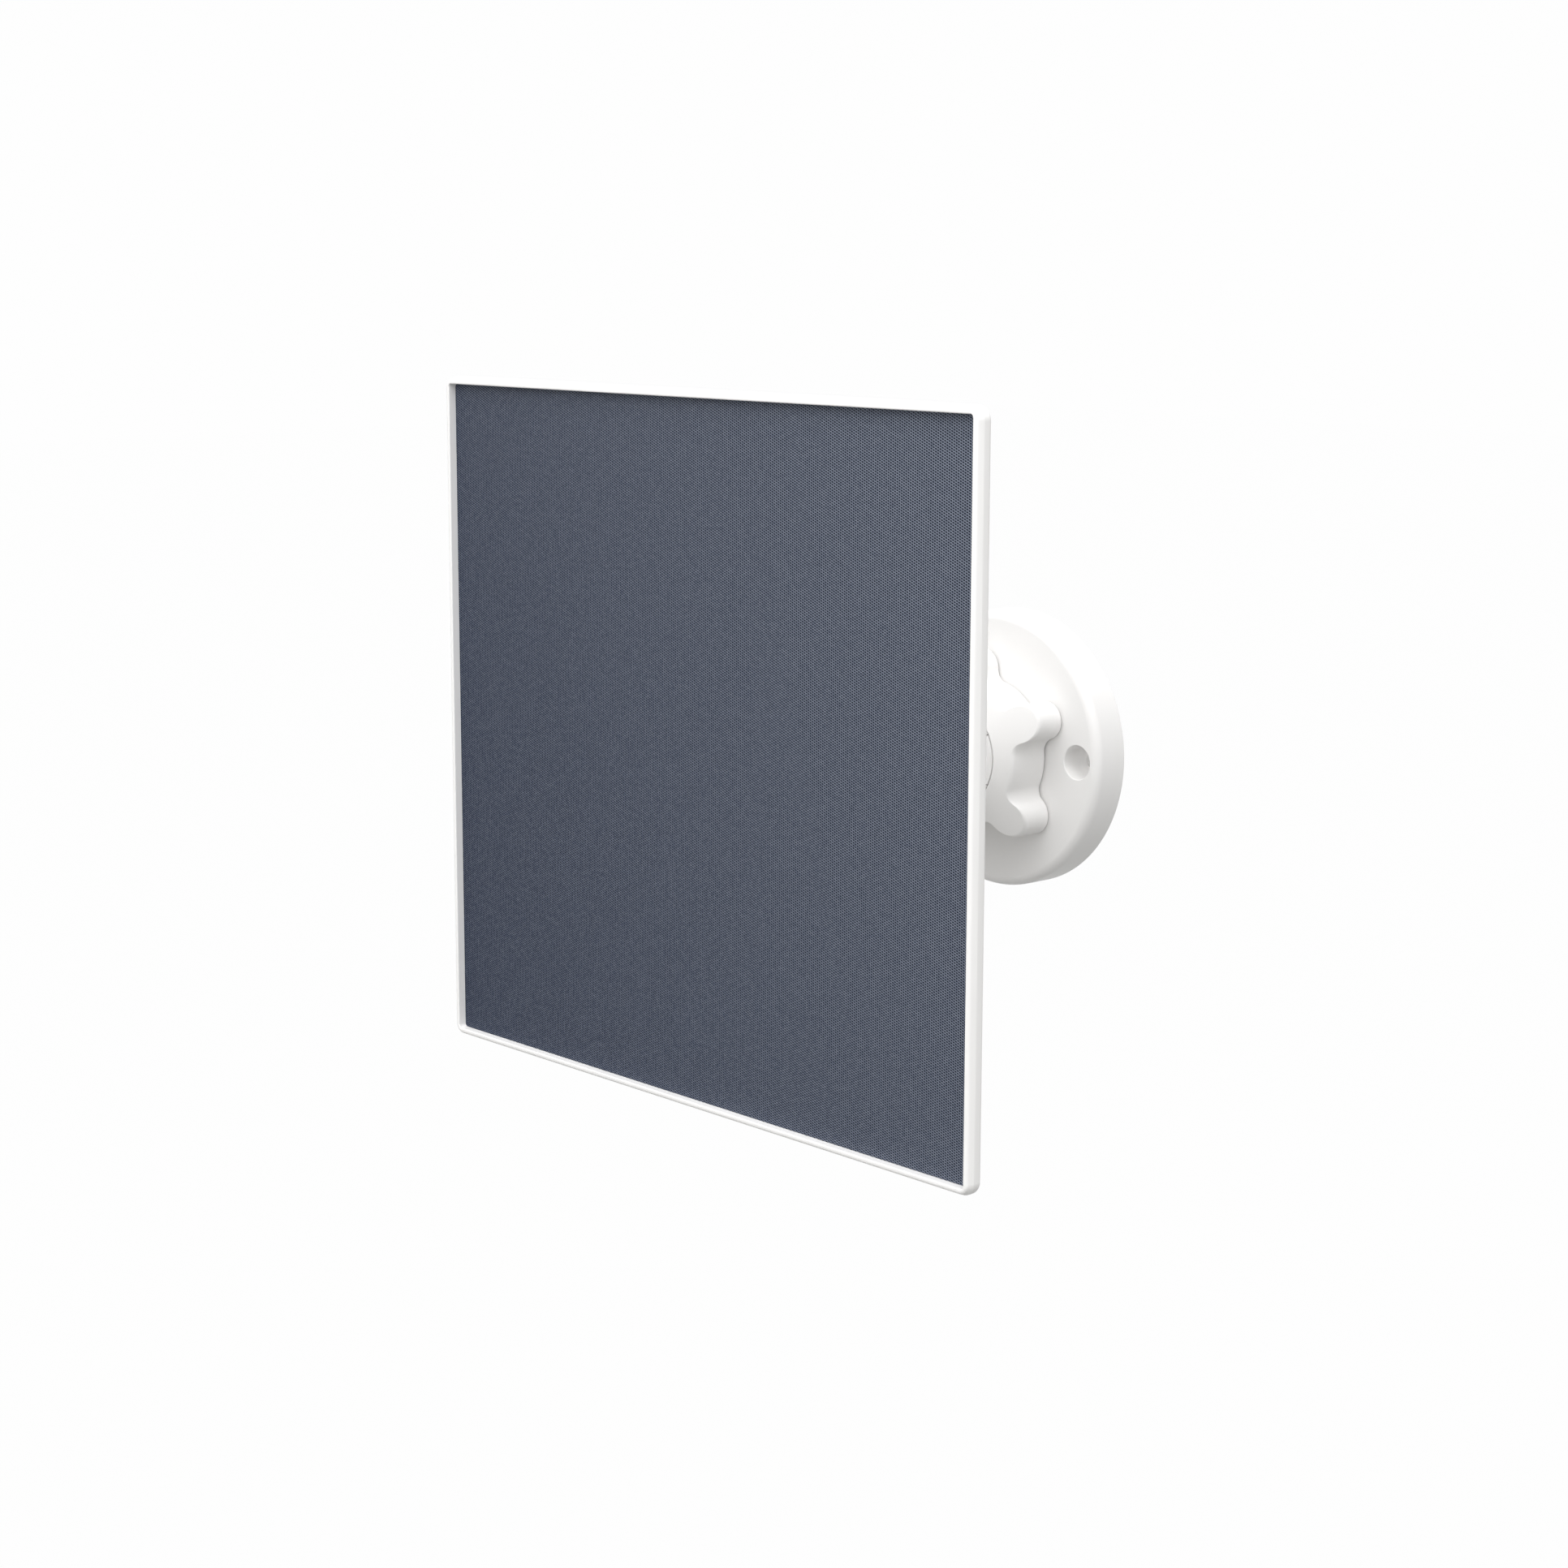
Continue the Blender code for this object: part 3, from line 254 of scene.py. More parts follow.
white_abs, tree, shader, place = start_material("abs_white_satin_moulded", "#F6F5F4", ABS_ROUGHNESS)
flow = add_node(tree, "ShaderNodeTexNoise", {"Vector": place, "Scale": 1.0 / ABS_FLOW, "Detail": 2.0})
tone = add_node(tree, "ShaderNodeMix",
                {"Factor": flow.outputs["Fac"], 6: linear("#F4F3F2"), 7: linear("#F8F7F6")},
                data_type="RGBA")
tree.links.new(tone.outputs[2], shader.inputs["Base Color"])
gloss = add_node(tree, "ShaderNodeMapRange",
                 {"Value": flow.outputs["Fac"], "From Min": NOISE_LOW, "From Max": NOISE_HIGH,
                  "To Min": ABS_ROUGHNESS - ABS_ROUGHNESS_DRIFT,
                  "To Max": ABS_ROUGHNESS + ABS_ROUGHNESS_DRIFT})
tree.links.new(gloss.outputs[0], shader.inputs["Roughness"])
grain = add_node(tree, "ShaderNodeTexNoise", {"Vector": place, "Scale": 1.0 / ABS_GRAIN, "Detail": 3.0})
relief = add_node(tree, "ShaderNodeBump",
                  {"Height": grain.outputs["Fac"], "Strength": ABS_GRAIN_STRENGTH,
                   "Distance": ABS_GRAIN_DEPTH})
tree.links.new(relief.outputs[0], shader.inputs["Normal"])
print("made", white_abs.name)

# %% [markdown]
# The front is a tough embossed film laminated over the cells. Up close it is a pale grey-blue web
# with rows of dark pits: columns 0.667 mm apart, pits 0.595 mm apart in each column, and every other
# column shifted by half a step. Three crossing cosine waves peak together on exactly that lattice, so
# no image and no mesh is needed. The first is the strongest, which draws the pits out along one
# diagonal, and the third leaves a light line between columns. Pits are darker, and sunk a little. Their
# darkening starts far out, so the web is lightest only on its ridges midway between pits, which is a
# painted highlight. The web is uneven from place to place, and its tone also rises slowly towards the
# upper right, which is a painted sheen, as if more light fell there.

# %% Embossed front film
COLUMN_STEP = 0.667 * MM
PIT_STEP = 0.595 * MM
FILM_WAVES = [((math.pi / COLUMN_STEP, 0.0, 2.0 * math.pi / PIT_STEP), 0.62),
              ((math.pi / COLUMN_STEP, 0.0, -2.0 * math.pi / PIT_STEP), 0.38),
              ((2.0 * math.pi / COLUMN_STEP, 0.0, 0.0), 0.32)]
# The pits start darkening far out, so the web is lightest only on its ridges midway between pits: a
# painted highlight added to the real dark pits.
PIT_START, PIT_FULL = -0.40, 0.30  # heights of the summed waves between which a pit darkens
PIT_DEPTH = 0.02 * MM
PIT_STRENGTH = 0.4
FILM_SPECULAR = 0.14
# Painted sheen: how fast the film's tone rises towards the upper right, as if lit more strongly there.
FILM_PAINTED_SHEEN_RISE = (3.2, 0.0, 1.4)  # per metre
FILM_SPECKLE = 0.9 * MM

embossed_film, tree, shader, place = start_material("embossed_film_grey_blue", "#606773", 0.46)
shader.inputs["Specular IOR Level"].default_value = FILM_SPECULAR
lattice = 0.0
for wave, height in FILM_WAVES:
    phase = add_node(tree, "ShaderNodeVectorMath", {0: place, 1: wave}, operation="DOT_PRODUCT")
    swell = add_node(tree, "ShaderNodeMath", {0: phase.outputs["Value"]}, operation="COSINE")
    lattice = add_node(tree, "ShaderNodeMath", {0: swell.outputs[0], 1: height, 2: lattice},
                       operation="MULTIPLY_ADD").outputs[0]
# Mask of the real dark pits, whose wide ramp also paints a highlight on the web's ridges between them.
pit_and_ridge_highlight = add_node(tree, "ShaderNodeMapRange",
               {"Value": lattice, "From Min": PIT_START, "From Max": PIT_FULL},
               interpolation_type="SMOOTHSTEP")
speckle = add_node(tree, "ShaderNodeTexNoise",
                   {"Vector": place, "Scale": 1.0 / FILM_SPECKLE, "Detail": 1.0})
# Painted sheen: the tone rises towards the upper right, added to the random speckle of the web.
painted_sheen = add_node(tree, "ShaderNodeVectorMath", {0: place, 1: FILM_PAINTED_SHEEN_RISE}, operation="DOT_PRODUCT")
speckle_and_painted_sheen = add_node(tree, "ShaderNodeMath", {0: speckle.outputs["Fac"], 1: painted_sheen.outputs["Value"]},
                  operation="ADD")
web = add_node(tree, "ShaderNodeMix",
               {"Factor": speckle_and_painted_sheen.outputs[0], 6: linear("#42495C"), 7: linear("#7B818F")},
               data_type="RGBA")
skin = add_node(tree, "ShaderNodeMix",
                {"Factor": pit_and_ridge_highlight.outputs[0], 6: web.outputs[2], 7: linear("#0D1725")}, data_type="RGBA")
tree.links.new(skin.outputs[2], shader.inputs["Base Color"])
relief = add_node(tree, "ShaderNodeBump",
                  {"Height": pit_and_ridge_highlight.outputs[0], "Strength": PIT_STRENGTH, "Distance": PIT_DEPTH},
                  invert=True)
tree.links.new(relief.outputs[0], shader.inputs["Normal"])
print("made", embossed_film.name, "with about", round(1.0 * MM * MM / (COLUMN_STEP * PIT_STEP), 1),
      "pits to a square millimetre")

# %% [markdown]
# Inside lie parts that only show when the panel is opened. The cells are silicon under a blue-black
# coating, with pale fingers of printed silver. A picture of a cell could be laid on them, but a rule
# stays sharp from any distance: a cosine of the height, where it is nearly at its peak, draws the
# fingers, and a cell texture gives the coating the patches of its crystals.

# %% Silicon cells
FINGER_STEP = 2.2 * MM
FINGER_EDGE, FINGER_CORE = 0.96, 0.99
CRYSTAL_SIZE = 6.0 * MM

silicon, tree, shader, place = start_material("silicon_cell_coated", "#12161F", 0.28)
parts = add_node(tree, "ShaderNodeSeparateXYZ", {0: place})
phase = add_node(tree, "ShaderNodeMath", {0: parts.outputs["Z"], 1: 2.0 * math.pi / FINGER_STEP},
                 operation="MULTIPLY")
swell = add_node(tree, "ShaderNodeMath", {0: phase.outputs[0]}, operation="COSINE")
finger = add_node(tree, "ShaderNodeMapRange",
                  {"Value": swell.outputs[0], "From Min": FINGER_EDGE, "From Max": FINGER_CORE})
crystal = add_node(tree, "ShaderNodeTexVoronoi", {"Vector": place, "Scale": 1.0 / CRYSTAL_SIZE})
blue = add_node(tree, "ShaderNodeMix",
                {"Factor": crystal.outputs["Distance"], 6: linear("#0E121C"), 7: linear("#1B2233")},
                data_type="RGBA")
printed = add_node(tree, "ShaderNodeMix",
                   {"Factor": finger.outputs[0], 6: blue.outputs[2], 7: linear("#9EA3A8")},
                   data_type="RGBA")
tree.links.new(printed.outputs[2], shader.inputs["Base Color"])
print("made", silicon.name)

# %% [markdown]
# The cells lie on glass-fibre laminate, whose cloth shows through the resin as small squares of two
# greens, and black foam tape holds the board. Cut foam shows open bubbles, so it is dull and pitted. A
# checker and a cell texture at the real spacings are enough for pieces that lie behind the film.

# %% Board and tape
CLOTH_STEP = 0.8 * MM
CLOTH_DEPTH = 0.02 * MM
FOAM_BUBBLE = 0.5 * MM
FOAM_DEPTH = 0.1 * MM

glass_fibre, tree, shader, place = start_material("glass_fibre_laminate", "#6F7A5C", 0.5)
weave = add_node(tree, "ShaderNodeTexChecker",
                 {"Vector": place, "Scale": 1.0 / CLOTH_STEP, "Color1": linear("#68735A"),
                  "Color2": linear("#7B8668")})
tree.links.new(weave.outputs["Color"], shader.inputs["Base Color"])
relief = add_node(tree, "ShaderNodeBump",
                  {"Height": weave.outputs["Fac"], "Strength": 0.2, "Distance": CLOTH_DEPTH})
tree.links.new(relief.outputs[0], shader.inputs["Normal"])

foam_tape, tree, shader, place = start_material("foam_tape_black", "#232323", 0.85)
bubbles = add_node(tree, "ShaderNodeTexVoronoi", {"Vector": place, "Scale": 1.0 / FOAM_BUBBLE})
shade = add_node(tree, "ShaderNodeMix",
                 {"Factor": bubbles.outputs["Distance"], 6: linear("#1A1A1A"), 7: linear("#2E2E2E")},
                 data_type="RGBA")
tree.links.new(shade.outputs[2], shader.inputs["Base Color"])
relief = add_node(tree, "ShaderNodeBump",
                  {"Height": bubbles.outputs["Distance"], "Distance": FOAM_DEPTH})
tree.links.new(relief.outputs[0], shader.inputs["Normal"])
print("made", glass_fibre.name, foam_tape.name)

# %% [markdown]
# Rubber is matt and slightly mottled, with a dusty bloom that lifts its darkest tone. The gland,
# gasket and washer are black, and the friction pad under the ball is grey and a little smoother. The
# diode's moulded epoxy has the same mottle and grain, but less bloom, so it shares the function. Moulded
# compounds have no direction, so two noises do it, a broad one for tone and a fine one for the skin.

# %% Rubbers and epoxy
MOTTLE_SIZE = 3.0 * MM
MATT_GRAIN = 0.3 * MM
MATT_GRAIN_DEPTH = 0.01 * MM
MATT_GRAIN_STRENGTH = 0.5


def matt_moulding(name, dark, light, roughness):
    """A matt moulded compound: mottled tone and a fine grain."""
    material, tree, shader, place = start_material(name, dark, roughness)
    mottle = add_node(tree, "ShaderNodeTexNoise",
                      {"Vector": place, "Scale": 1.0 / MOTTLE_SIZE, "Detail": 4.0})
    tone = add_node(tree, "ShaderNodeMix",
                    {"Factor": mottle.outputs["Fac"], 6: linear(dark), 7: linear(light)},
                    data_type="RGBA")
    tree.links.new(tone.outputs[2], shader.inputs["Base Color"])
    grain = add_node(tree, "ShaderNodeTexNoise",
                     {"Vector": place, "Scale": 1.0 / MATT_GRAIN, "Detail": 2.0})
    relief = add_node(tree, "ShaderNodeBump",
                      {"Height": grain.outputs["Fac"], "Strength": MATT_GRAIN_STRENGTH,
                       "Distance": MATT_GRAIN_DEPTH})
    tree.links.new(relief.outputs[0], shader.inputs["Normal"])
    return material


black_rubber = matt_moulding("rubber_black_moulded", "#1E1E1F", "#333335", 0.72)
grey_rubber = matt_moulding("rubber_grey_friction_pad", "#6E6F70", "#818283", 0.66)
epoxy = matt_moulding("epoxy_black_moulded", "#1B1B1C", "#262627", 0.55)
print("made", black_rubber.name, grey_rubber.name, epoxy.name)

# %% [markdown]
# The stud and the insert are turned on a lathe, so their faces carry fine rings round the axis, and the
# hidden pins share the finish. A wave texture set to rings gives it, as a faint change of roughness and
# height. Real tool marks lie nearer to a tenth of a millimetre apart, too fine to show, so they are
# drawn at half a millimetre. The cover screws are headed from wire and tumbled, which leaves no rings,
# only fine dull specks.

# %% Bare metals
TURNING_STEP = 0.5 * MM
TURNING_DEPTH = 0.005 * MM
TURNING_STRENGTH = 0.3
SMOOTHER, ROUGHER = -0.06, 0.08  # what the rings take from the roughness and add to it
TUMBLE_SPECK = 0.25 * MM
TUMBLE_ROUGHNESS = 0.34
TUMBLE_SPREAD = 0.08
WAVE_RADIANS = 20.0  # a wave texture runs through 20 radians in each unit of length


def turned_metal(name, code, roughness):
    """Bare turned metal with fine tool rings about the Y axis."""
    material, tree, shader, place = start_material(name, code, roughness, 1.0)
    rings = add_node(tree, "ShaderNodeTexWave",
                     {"Vector": place, "Scale": 2.0 * math.pi / (WAVE_RADIANS * TURNING_STEP),
                      "Distortion": 1.0, "Detail": 1.0},
                     wave_type="RINGS", rings_direction="Y")
    gloss = add_node(tree, "ShaderNodeMapRange",
                     {"Value": rings.outputs["Fac"], "To Min": roughness + SMOOTHER,
                      "To Max": roughness + ROUGHER})
    tree.links.new(gloss.outputs[0], shader.inputs["Roughness"])
    relief = add_node(tree, "ShaderNodeBump",
                      {"Height": rings.outputs["Fac"], "Strength": TURNING_STRENGTH,
                       "Distance": TURNING_DEPTH})
    tree.links.new(relief.outputs[0], shader.inputs["Normal"])
    return material


stainless = turned_metal("stainless_steel_turned", "#C9C9C7", 0.30)  # bright and cool
brass = turned_metal("brass_turned", "#D8B25A", 0.32)  # warm yellow under the same rings
tinned = turned_metal("copper_wire_tinned", "#CFCDC8", 0.34)  # whiter and a little duller than steel

tumbled_steel, tree, shader, place = start_material("stainless_steel_tumbled", "#C4C4C2",
                                                    TUMBLE_ROUGHNESS, 1.0)
specks = add_node(tree, "ShaderNodeTexNoise",
                  {"Vector": place, "Scale": 1.0 / TUMBLE_SPECK, "Detail": 2.0})
gloss = add_node(tree, "ShaderNodeMapRange",
                 {"Value": specks.outputs["Fac"], "To Min": TUMBLE_ROUGHNESS - TUMBLE_SPREAD,
                  "To Max": TUMBLE_ROUGHNESS + TUMBLE_SPREAD})
tree.links.new(gloss.outputs[0], shader.inputs["Roughness"])
print("made", stainless.name, brass.name, tinned.name, tumbled_steel.name)

# %% [markdown]
# The circuit board is laminate under a green lacquer, in which the copper tracks show as lighter green
# bands. They stand a little proud, so the lacquer is bumped along them. The board is closed in, so the
# joints of a brick texture stand for a drawn layout.

# %% Circuit board
TRACK_STEP = 2.5 * MM
TRACK_WIDTH = 0.3 * MM
TRACK_HEIGHT = 0.03 * MM
BRICK_ROW = 0.25  # a brick texture's rows are a quarter of its unit high
TRACK_SCALE = BRICK_ROW / TRACK_STEP

solder_mask, tree, shader, place = start_material("solder_mask_green", "#1B5E36", 0.38)
tracks = add_node(tree, "ShaderNodeTexBrick",
                  {"Vector": place, "Color1": linear("#1A5A33"), "Color2": linear("#1D6439"),
                   "Mortar": linear("#2E7F4C"), "Scale": TRACK_SCALE,
                   "Mortar Size": TRACK_WIDTH * TRACK_SCALE})
tree.links.new(tracks.outputs["Color"], shader.inputs["Base Color"])
relief = add_node(tree, "ShaderNodeBump",
                  {"Height": tracks.outputs["Fac"], "Strength": 0.4, "Distance": TRACK_HEIGHT})
tree.links.new(relief.outputs[0], shader.inputs["Normal"])
print("made", solder_mask.name)

# %% [markdown]
# Most shapes start as a profile, a row of corners that each carry their own fillet. A Bevel modifier
# rounds every edge alike, and moulded parts have a different radius at nearly every edge, so fillets are
# drawn into the profile as arcs.

# %% Profiles
FILLET_STEPS = 8


def rounded(corners, steps=FILLET_STEPS):
    """Points along (a, b, fillet) corners, with an arc at each corner that has a fillet."""
    points = []
    for i, (a, b, fillet) in enumerate(corners):
        here = Vector((a, b))
        if fillet <= 0.0:
            points.append(here)
            continue
        back = (Vector(corners[i - 1][:2]) - here).normalized()
        ahead = (Vector(corners[(i + 1) % len(corners)][:2]) - here).normalized()
        half_angle = back.angle(ahead) / 2.0
        centre = here + (back + ahead).normalized() * (fillet / math.sin(half_angle))
        reach = fillet / math.tan(half_angle)
        start = (here + back * reach - centre).normalized()
        end = (here + ahead * reach - centre).normalized()
        for k in range(steps + 1):
            points.append(centre + fillet * start.slerp(end, k / steps))
    return points


def arc(centre_a, centre_b, radius, start, end, steps):
    """Points on an arc from one angle to another."""
    points = []
    for k in range(steps + 1):
        angle = start + (end - start) * k / steps
        points.append(Vector((centre_a + radius * math.cos(angle),
                              centre_b + radius * math.sin(angle))))
    return points


print("fillets get", FILLET_STEPS, "facets")

# %% [markdown]
# A profile becomes a body in one of two ways, as the tool that moulds it was cut: it is turned about the
# bracket's axis, or its points become loops that are skinned. Spinning leaves a seam, which is closed
# before the faces are turned outwards.

# %% Bodies
WELD = 0.0005 * MM


def outward(shape):
    """Close the seams of a shape and turn its faces outwards."""
    bmesh.ops.remove_doubles(shape, verts=shape.verts, dist=WELD)
    bmesh.ops.recalc_face_normals(shape, faces=shape.faces)
    return shape


def turned(profile, steps, ring=False):
    """Turn (radius, y) points about the Y axis; a ring's profile closes on itself."""
    shape = bmesh.new()
    verts = [shape.verts.new((radius, y, 0.0)) for radius, y in profile]
    edges = [shape.edges.new(pair) for pair in zip(verts, verts[1:])]
    if ring:
        edges.append(shape.edges.new((verts[-1], verts[0])))
    bmesh.ops.spin(shape, geom=verts + edges, cent=(0, 0, 0), axis=(0, 1, 0), angle=2.0 * math.pi,
                   steps=steps, use_merge=True)
    return outward(shape)


def lofted(loops, ring=False):
    """Skin a row of loops that have the same number of points; a ring joins the last to the first."""
    shape = bmesh.new()
    rows = [[shape.verts.new(point) for point in loop] for loop in loops]
    pairs = list(zip(rows, rows[1:]))
    if ring:
        pairs.append((rows[-1], rows[0]))
    else:
        shape.faces.new(rows[0])
        shape.faces.new(rows[-1])
    for row, following in pairs:
        for i in range(len(row)):
            j = (i + 1) % len(row)
            shape.faces.new((row[i], row[j], following[j], following[i]))
    bmesh.ops.recalc_face_normals(shape, faces=shape.faces)
    return shape


def block(low, high):
    """A box between two corners."""
    shape = bmesh.new()
    low = Vector(low)
    high = Vector(high)
    place = Matrix.Translation((low + high) / 2.0) @ Matrix.Diagonal((*(high - low), 1.0))
    bmesh.ops.create_cube(shape, size=1.0, matrix=place)
    return shape


def moved(shape, place):
    """Shift a shape."""
    bmesh.ops.translate(shape, verts=shape.verts, vec=place)
    return shape


print("points nearer than", round(WELD / MM, 4), "mm are welded")

# %% [markdown]
# Holes, ribs and slots are cut or joined with booleans, as they are in the tool. The Boolean modifier
# works on objects, so helpers turn shapes into objects for a moment and take the result back. The exact
# solver is slower than the fast one, but it copes with faces that touch.

# %% Objects and booleans
def as_object(name, shape):
    """Link a shape to the scene as an object."""
    mesh = bpy.data.meshes.new(name)
    shape.to_mesh(mesh)
    shape.free()
    obj = bpy.data.objects.new(name, mesh)
    scene.collection.objects.link(obj)
    return obj


def evaluated_mesh(obj):
    """Plain mesh of an object with its modifiers applied."""
    depsgraph = bpy.context.evaluated_depsgraph_get()
    return bpy.data.meshes.new_from_object(obj.evaluated_get(depsgraph))


def as_shape(mesh):
    """Take a mesh out of the file and go on with it as a shape."""
    shape = bmesh.new()
    shape.from_mesh(mesh)
    bpy.data.meshes.remove(mesh)
    return shape


def removed(*objects):
    """Take helper objects out of the file."""
    for obj in objects:
        mesh = obj.data
        bpy.data.objects.remove(obj, do_unlink=True)
        bpy.data.meshes.remove(mesh)


def combined(body, tool, operation):
    """Boolean of two closed shapes with the exact solver; both are used up."""
    first = as_object("body_shape", body)
    second = as_object("tool_shape", tool)
    modifier = first.modifiers.new("Combine", "BOOLEAN")
    modifier.operation = operation
    modifier.solver = "EXACT"
    modifier.object = second
    result = as_shape(evaluated_mesh(first))
    removed(first, second)
    bmesh.ops.dissolve_degenerate(result, dist=WELD, edges=result.edges)
    return result


# %% [markdown]
# A finished piece gets smooth shading with weighted normals, so that flat faces stay flat beside their
# fillets. It then rides on a body of the frame and stands for the plainer node there.

# %% Finished pieces
SHARP_ANGLE = math.radians(34.0)


def piece_of(name, shape, material, body, slot, *stands_for):
    """Smooth a shape, and make it a piece that rides on a body and stands for its nodes."""
    piece = as_object(name, shape)
    rough = piece.data
    rough.materials.clear()  # booleans leave slot numbers on the faces, and this takes them off
    rough.materials.append(material)
    rough.shade_smooth()
    rough.set_sharp_from_angle(angle=SHARP_ANGLE)
    modifier = piece.modifiers.new("Weighted normals", "WEIGHTED_NORMAL")
    modifier.keep_sharp = True
    smooth = evaluated_mesh(piece)
    piece.modifiers.clear()
    piece.data = smooth
    bpy.data.meshes.remove(rough)
    smooth.name = name
    smooth.calc_loop_triangles()
    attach(piece, body)
    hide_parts(*stands_for)
    print(name, "rides on", body, "with", len(smooth.loop_triangles), "triangles")
    return piece


print("edges sharper than", round(math.degrees(SHARP_ANGLE)), "degrees stay sharp")

# %% [markdown]
# Some shapes follow a rule, and Geometry Nodes build those. Three helpers serve every tree. One starts
# it with named inputs, one ends it with real faces that carry a material, and one runs it on an empty
# object and takes the result back as a plain shape. Inputs are set by their identifiers, before the
# tree first runs.

# %% Tree helpers
def new_tree(name, kinds):
    """Start a tree with named inputs; gives the tree, its inputs and their identifiers."""
    tree = bpy.data.node_groups.new(name, "GeometryNodeTree")
    tree.interface.new_socket("Geometry", in_out="OUTPUT", socket_type="NodeSocketGeometry")
    identifiers = {}
    for label, kind in kinds.items():
        socket = tree.interface.new_socket(label, in_out="INPUT", socket_type="NodeSocket" + kind)
        identifiers[label] = socket.identifier
    return tree, add_node(tree, "NodeGroupInput").outputs, identifiers


def close_tree(tree, shape, material):
    """End a tree: real faces, their material, and the way out."""
    real = add_node(tree, "GeometryNodeRealizeInstances", {0: shape}).outputs[0]
    coloured = add_node(tree, "GeometryNodeSetMaterial", {"Geometry": real, "Material": material})
    add_node(tree, "NodeGroupOutput", {0: coloured.outputs[0]})


def grown(tree, identifiers, values):
    """Run a tree with these inputs on an empty object and take back the shape it makes."""
    carrier = as_object("tree_carrier", bmesh.new())
    modifier = carrier.modifiers.new(tree.name, "NODES")
    modifier.node_group = tree
    for label, value in values.items():
        modifier[identifiers[label]] = value
    shape = as_shape(evaluated_mesh(carrier))
    removed(carrier)
    return shape


print("trees take their inputs by identifier")

# %% [markdown]
# Screws, ribs, bosses and holes all repeat round the bracket's axis, and one tree does it: points that
# all lie on the axis, one instance of the shape on each, and each instance turned by its share of a
# full turn.

# %% A pattern round the axis
pattern, given, pattern_inputs = new_tree(
    "round_pattern",
    {"Shape": "Object", "Copies": "Int", "First angle": "Float", "Material": "Material"})
source = add_node(pattern, "GeometryNodeObjectInfo", {"Object": given["Shape"]}).outputs["Geometry"]
points = add_node(pattern, "GeometryNodePoints", {"Count": given["Copies"]}).outputs[0]
number = add_node(pattern, "GeometryNodeInputIndex").outputs[0]
part = add_node(pattern, "ShaderNodeMath", {0: number, 1: given["Copies"]},
                operation="DIVIDE").outputs[0]
turn = add_node(pattern, "ShaderNodeMath",
                {0: part, 1: -2.0 * math.pi, 2: given["First angle"]},
                operation="MULTIPLY_ADD").outputs[0]
turning = add_node(pattern, "ShaderNodeCombineXYZ", {"Y": turn}).outputs[0]
copies = add_node(pattern, "GeometryNodeInstanceOnPoints",
                  {"Points": points, "Instance": source, "Rotation": turning}).outputs[0]
close_tree(pattern, copies, given["Material"])


def repeated(shape, copies, first_angle=0.0, material=white_abs):
    """Copies of a shape round the Y axis, counter-clockwise seen from the front."""
    single = as_object("single_shape", shape)
    result = grown(pattern, pattern_inputs, {"Shape": single, "Copies": copies,
                                             "First angle": -first_angle, "Material": material})
    removed(single)
    return result


print("pattern inputs", list(pattern_inputs))

# %% [markdown]
# The tray is one moulding: a narrow raised rim with a round outer edge, a two-millimetre step down to
# the film, a pocket for the cells, and a back that slopes up to a flat middle. It could be a box with
# bevels and cuts, but here it is a stack of round-cornered loops. One profile, drawn as inset from the
# outline against depth behind the rim, then gives the whole shape, and every fillet runs round all four
# sides.

# %% Panel tray
RIM_WIDTH = 1.8 * MM
RIM_CROWN_INSET = 0.65 * MM
RIM_CROWN_DEPTH = 1.7 * MM
RIM_OUTER_FILLET = 0.9 * MM
RIM_SIDE_FILLET = 0.4 * MM
RIM_INNER_FILLET = 0.3 * MM
RECESS_DEPTH = 2.0 * MM
FILM_THICKNESS = 0.5 * MM
LEDGE = 2.8 * MM
POCKET_INSET = 11.0 * MM
POCKET_FLOOR = 5.6 * MM
EDGE_THICKNESS = 4.0 * MM
EDGE_REAR_FILLET = 1.4 * MM
BACK_SLOPE_RUN = 13.0 * MM
BACK_SLOPE_FILLET = 8.0 * MM
BACK_FLAT_INSET = 26.0 * MM
TRAY_BACK = 7.4 * MM
OUTLINE_CORNER = 3.2 * MM
RECESS_CORNER = 0.8 * MM
CORNER_STEPS = 12

tray_low, tray_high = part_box("panel_tray")
RIM_FRONT = tray_low.y
OUTLINE_WIDTH = tray_high.x - tray_low.x
OUTLINE_HEIGHT = tray_high.z - tray_low.z
OUTLINE_RISE = (tray_high.z + tray_low.z) / 2.0


def panel_loop(inset, depth):
    """The tray's outline drawn in by an inset, at a depth behind the rim's front."""
    share = min(inset / RIM_WIDTH, 1.0)
    radius = OUTLINE_CORNER + (RECESS_CORNER - OUTLINE_CORNER) * share
    half_width = OUTLINE_WIDTH / 2.0 - inset
    half_height = OUTLINE_HEIGHT / 2.0 - inset
    corners = [(sign_x * half_width, sign_z * half_height, radius)
               for sign_x, sign_z in ((1, 1), (-1, 1), (-1, -1), (1, -1))]
    return [(x, RIM_FRONT + depth, z + OUTLINE_RISE) for x, z in rounded(corners, CORNER_STEPS)]


section = rounded([
    (POCKET_INSET, POCKET_FLOOR, 0.0),
    (POCKET_INSET, LEDGE, 0.0),
    (RIM_WIDTH, LEDGE, 0.0),
    (RIM_WIDTH, 0.0, RIM_INNER_FILLET),
    (RIM_CROWN_INSET, 0.0, RIM_OUTER_FILLET),
    (0.0, RIM_CROWN_DEPTH, RIM_SIDE_FILLET),
    (0.0, EDGE_THICKNESS, EDGE_REAR_FILLET),
    (BACK_SLOPE_RUN, TRAY_BACK, BACK_SLOPE_FILLET),
    (BACK_FLAT_INSET, TRAY_BACK, 0.0),
])
tray = lofted([panel_loop(inset, depth) for inset, depth in section])
tray_shell = piece_of("tray_shell", tray, white_abs, "panel", "white_abs", "panel_tray")

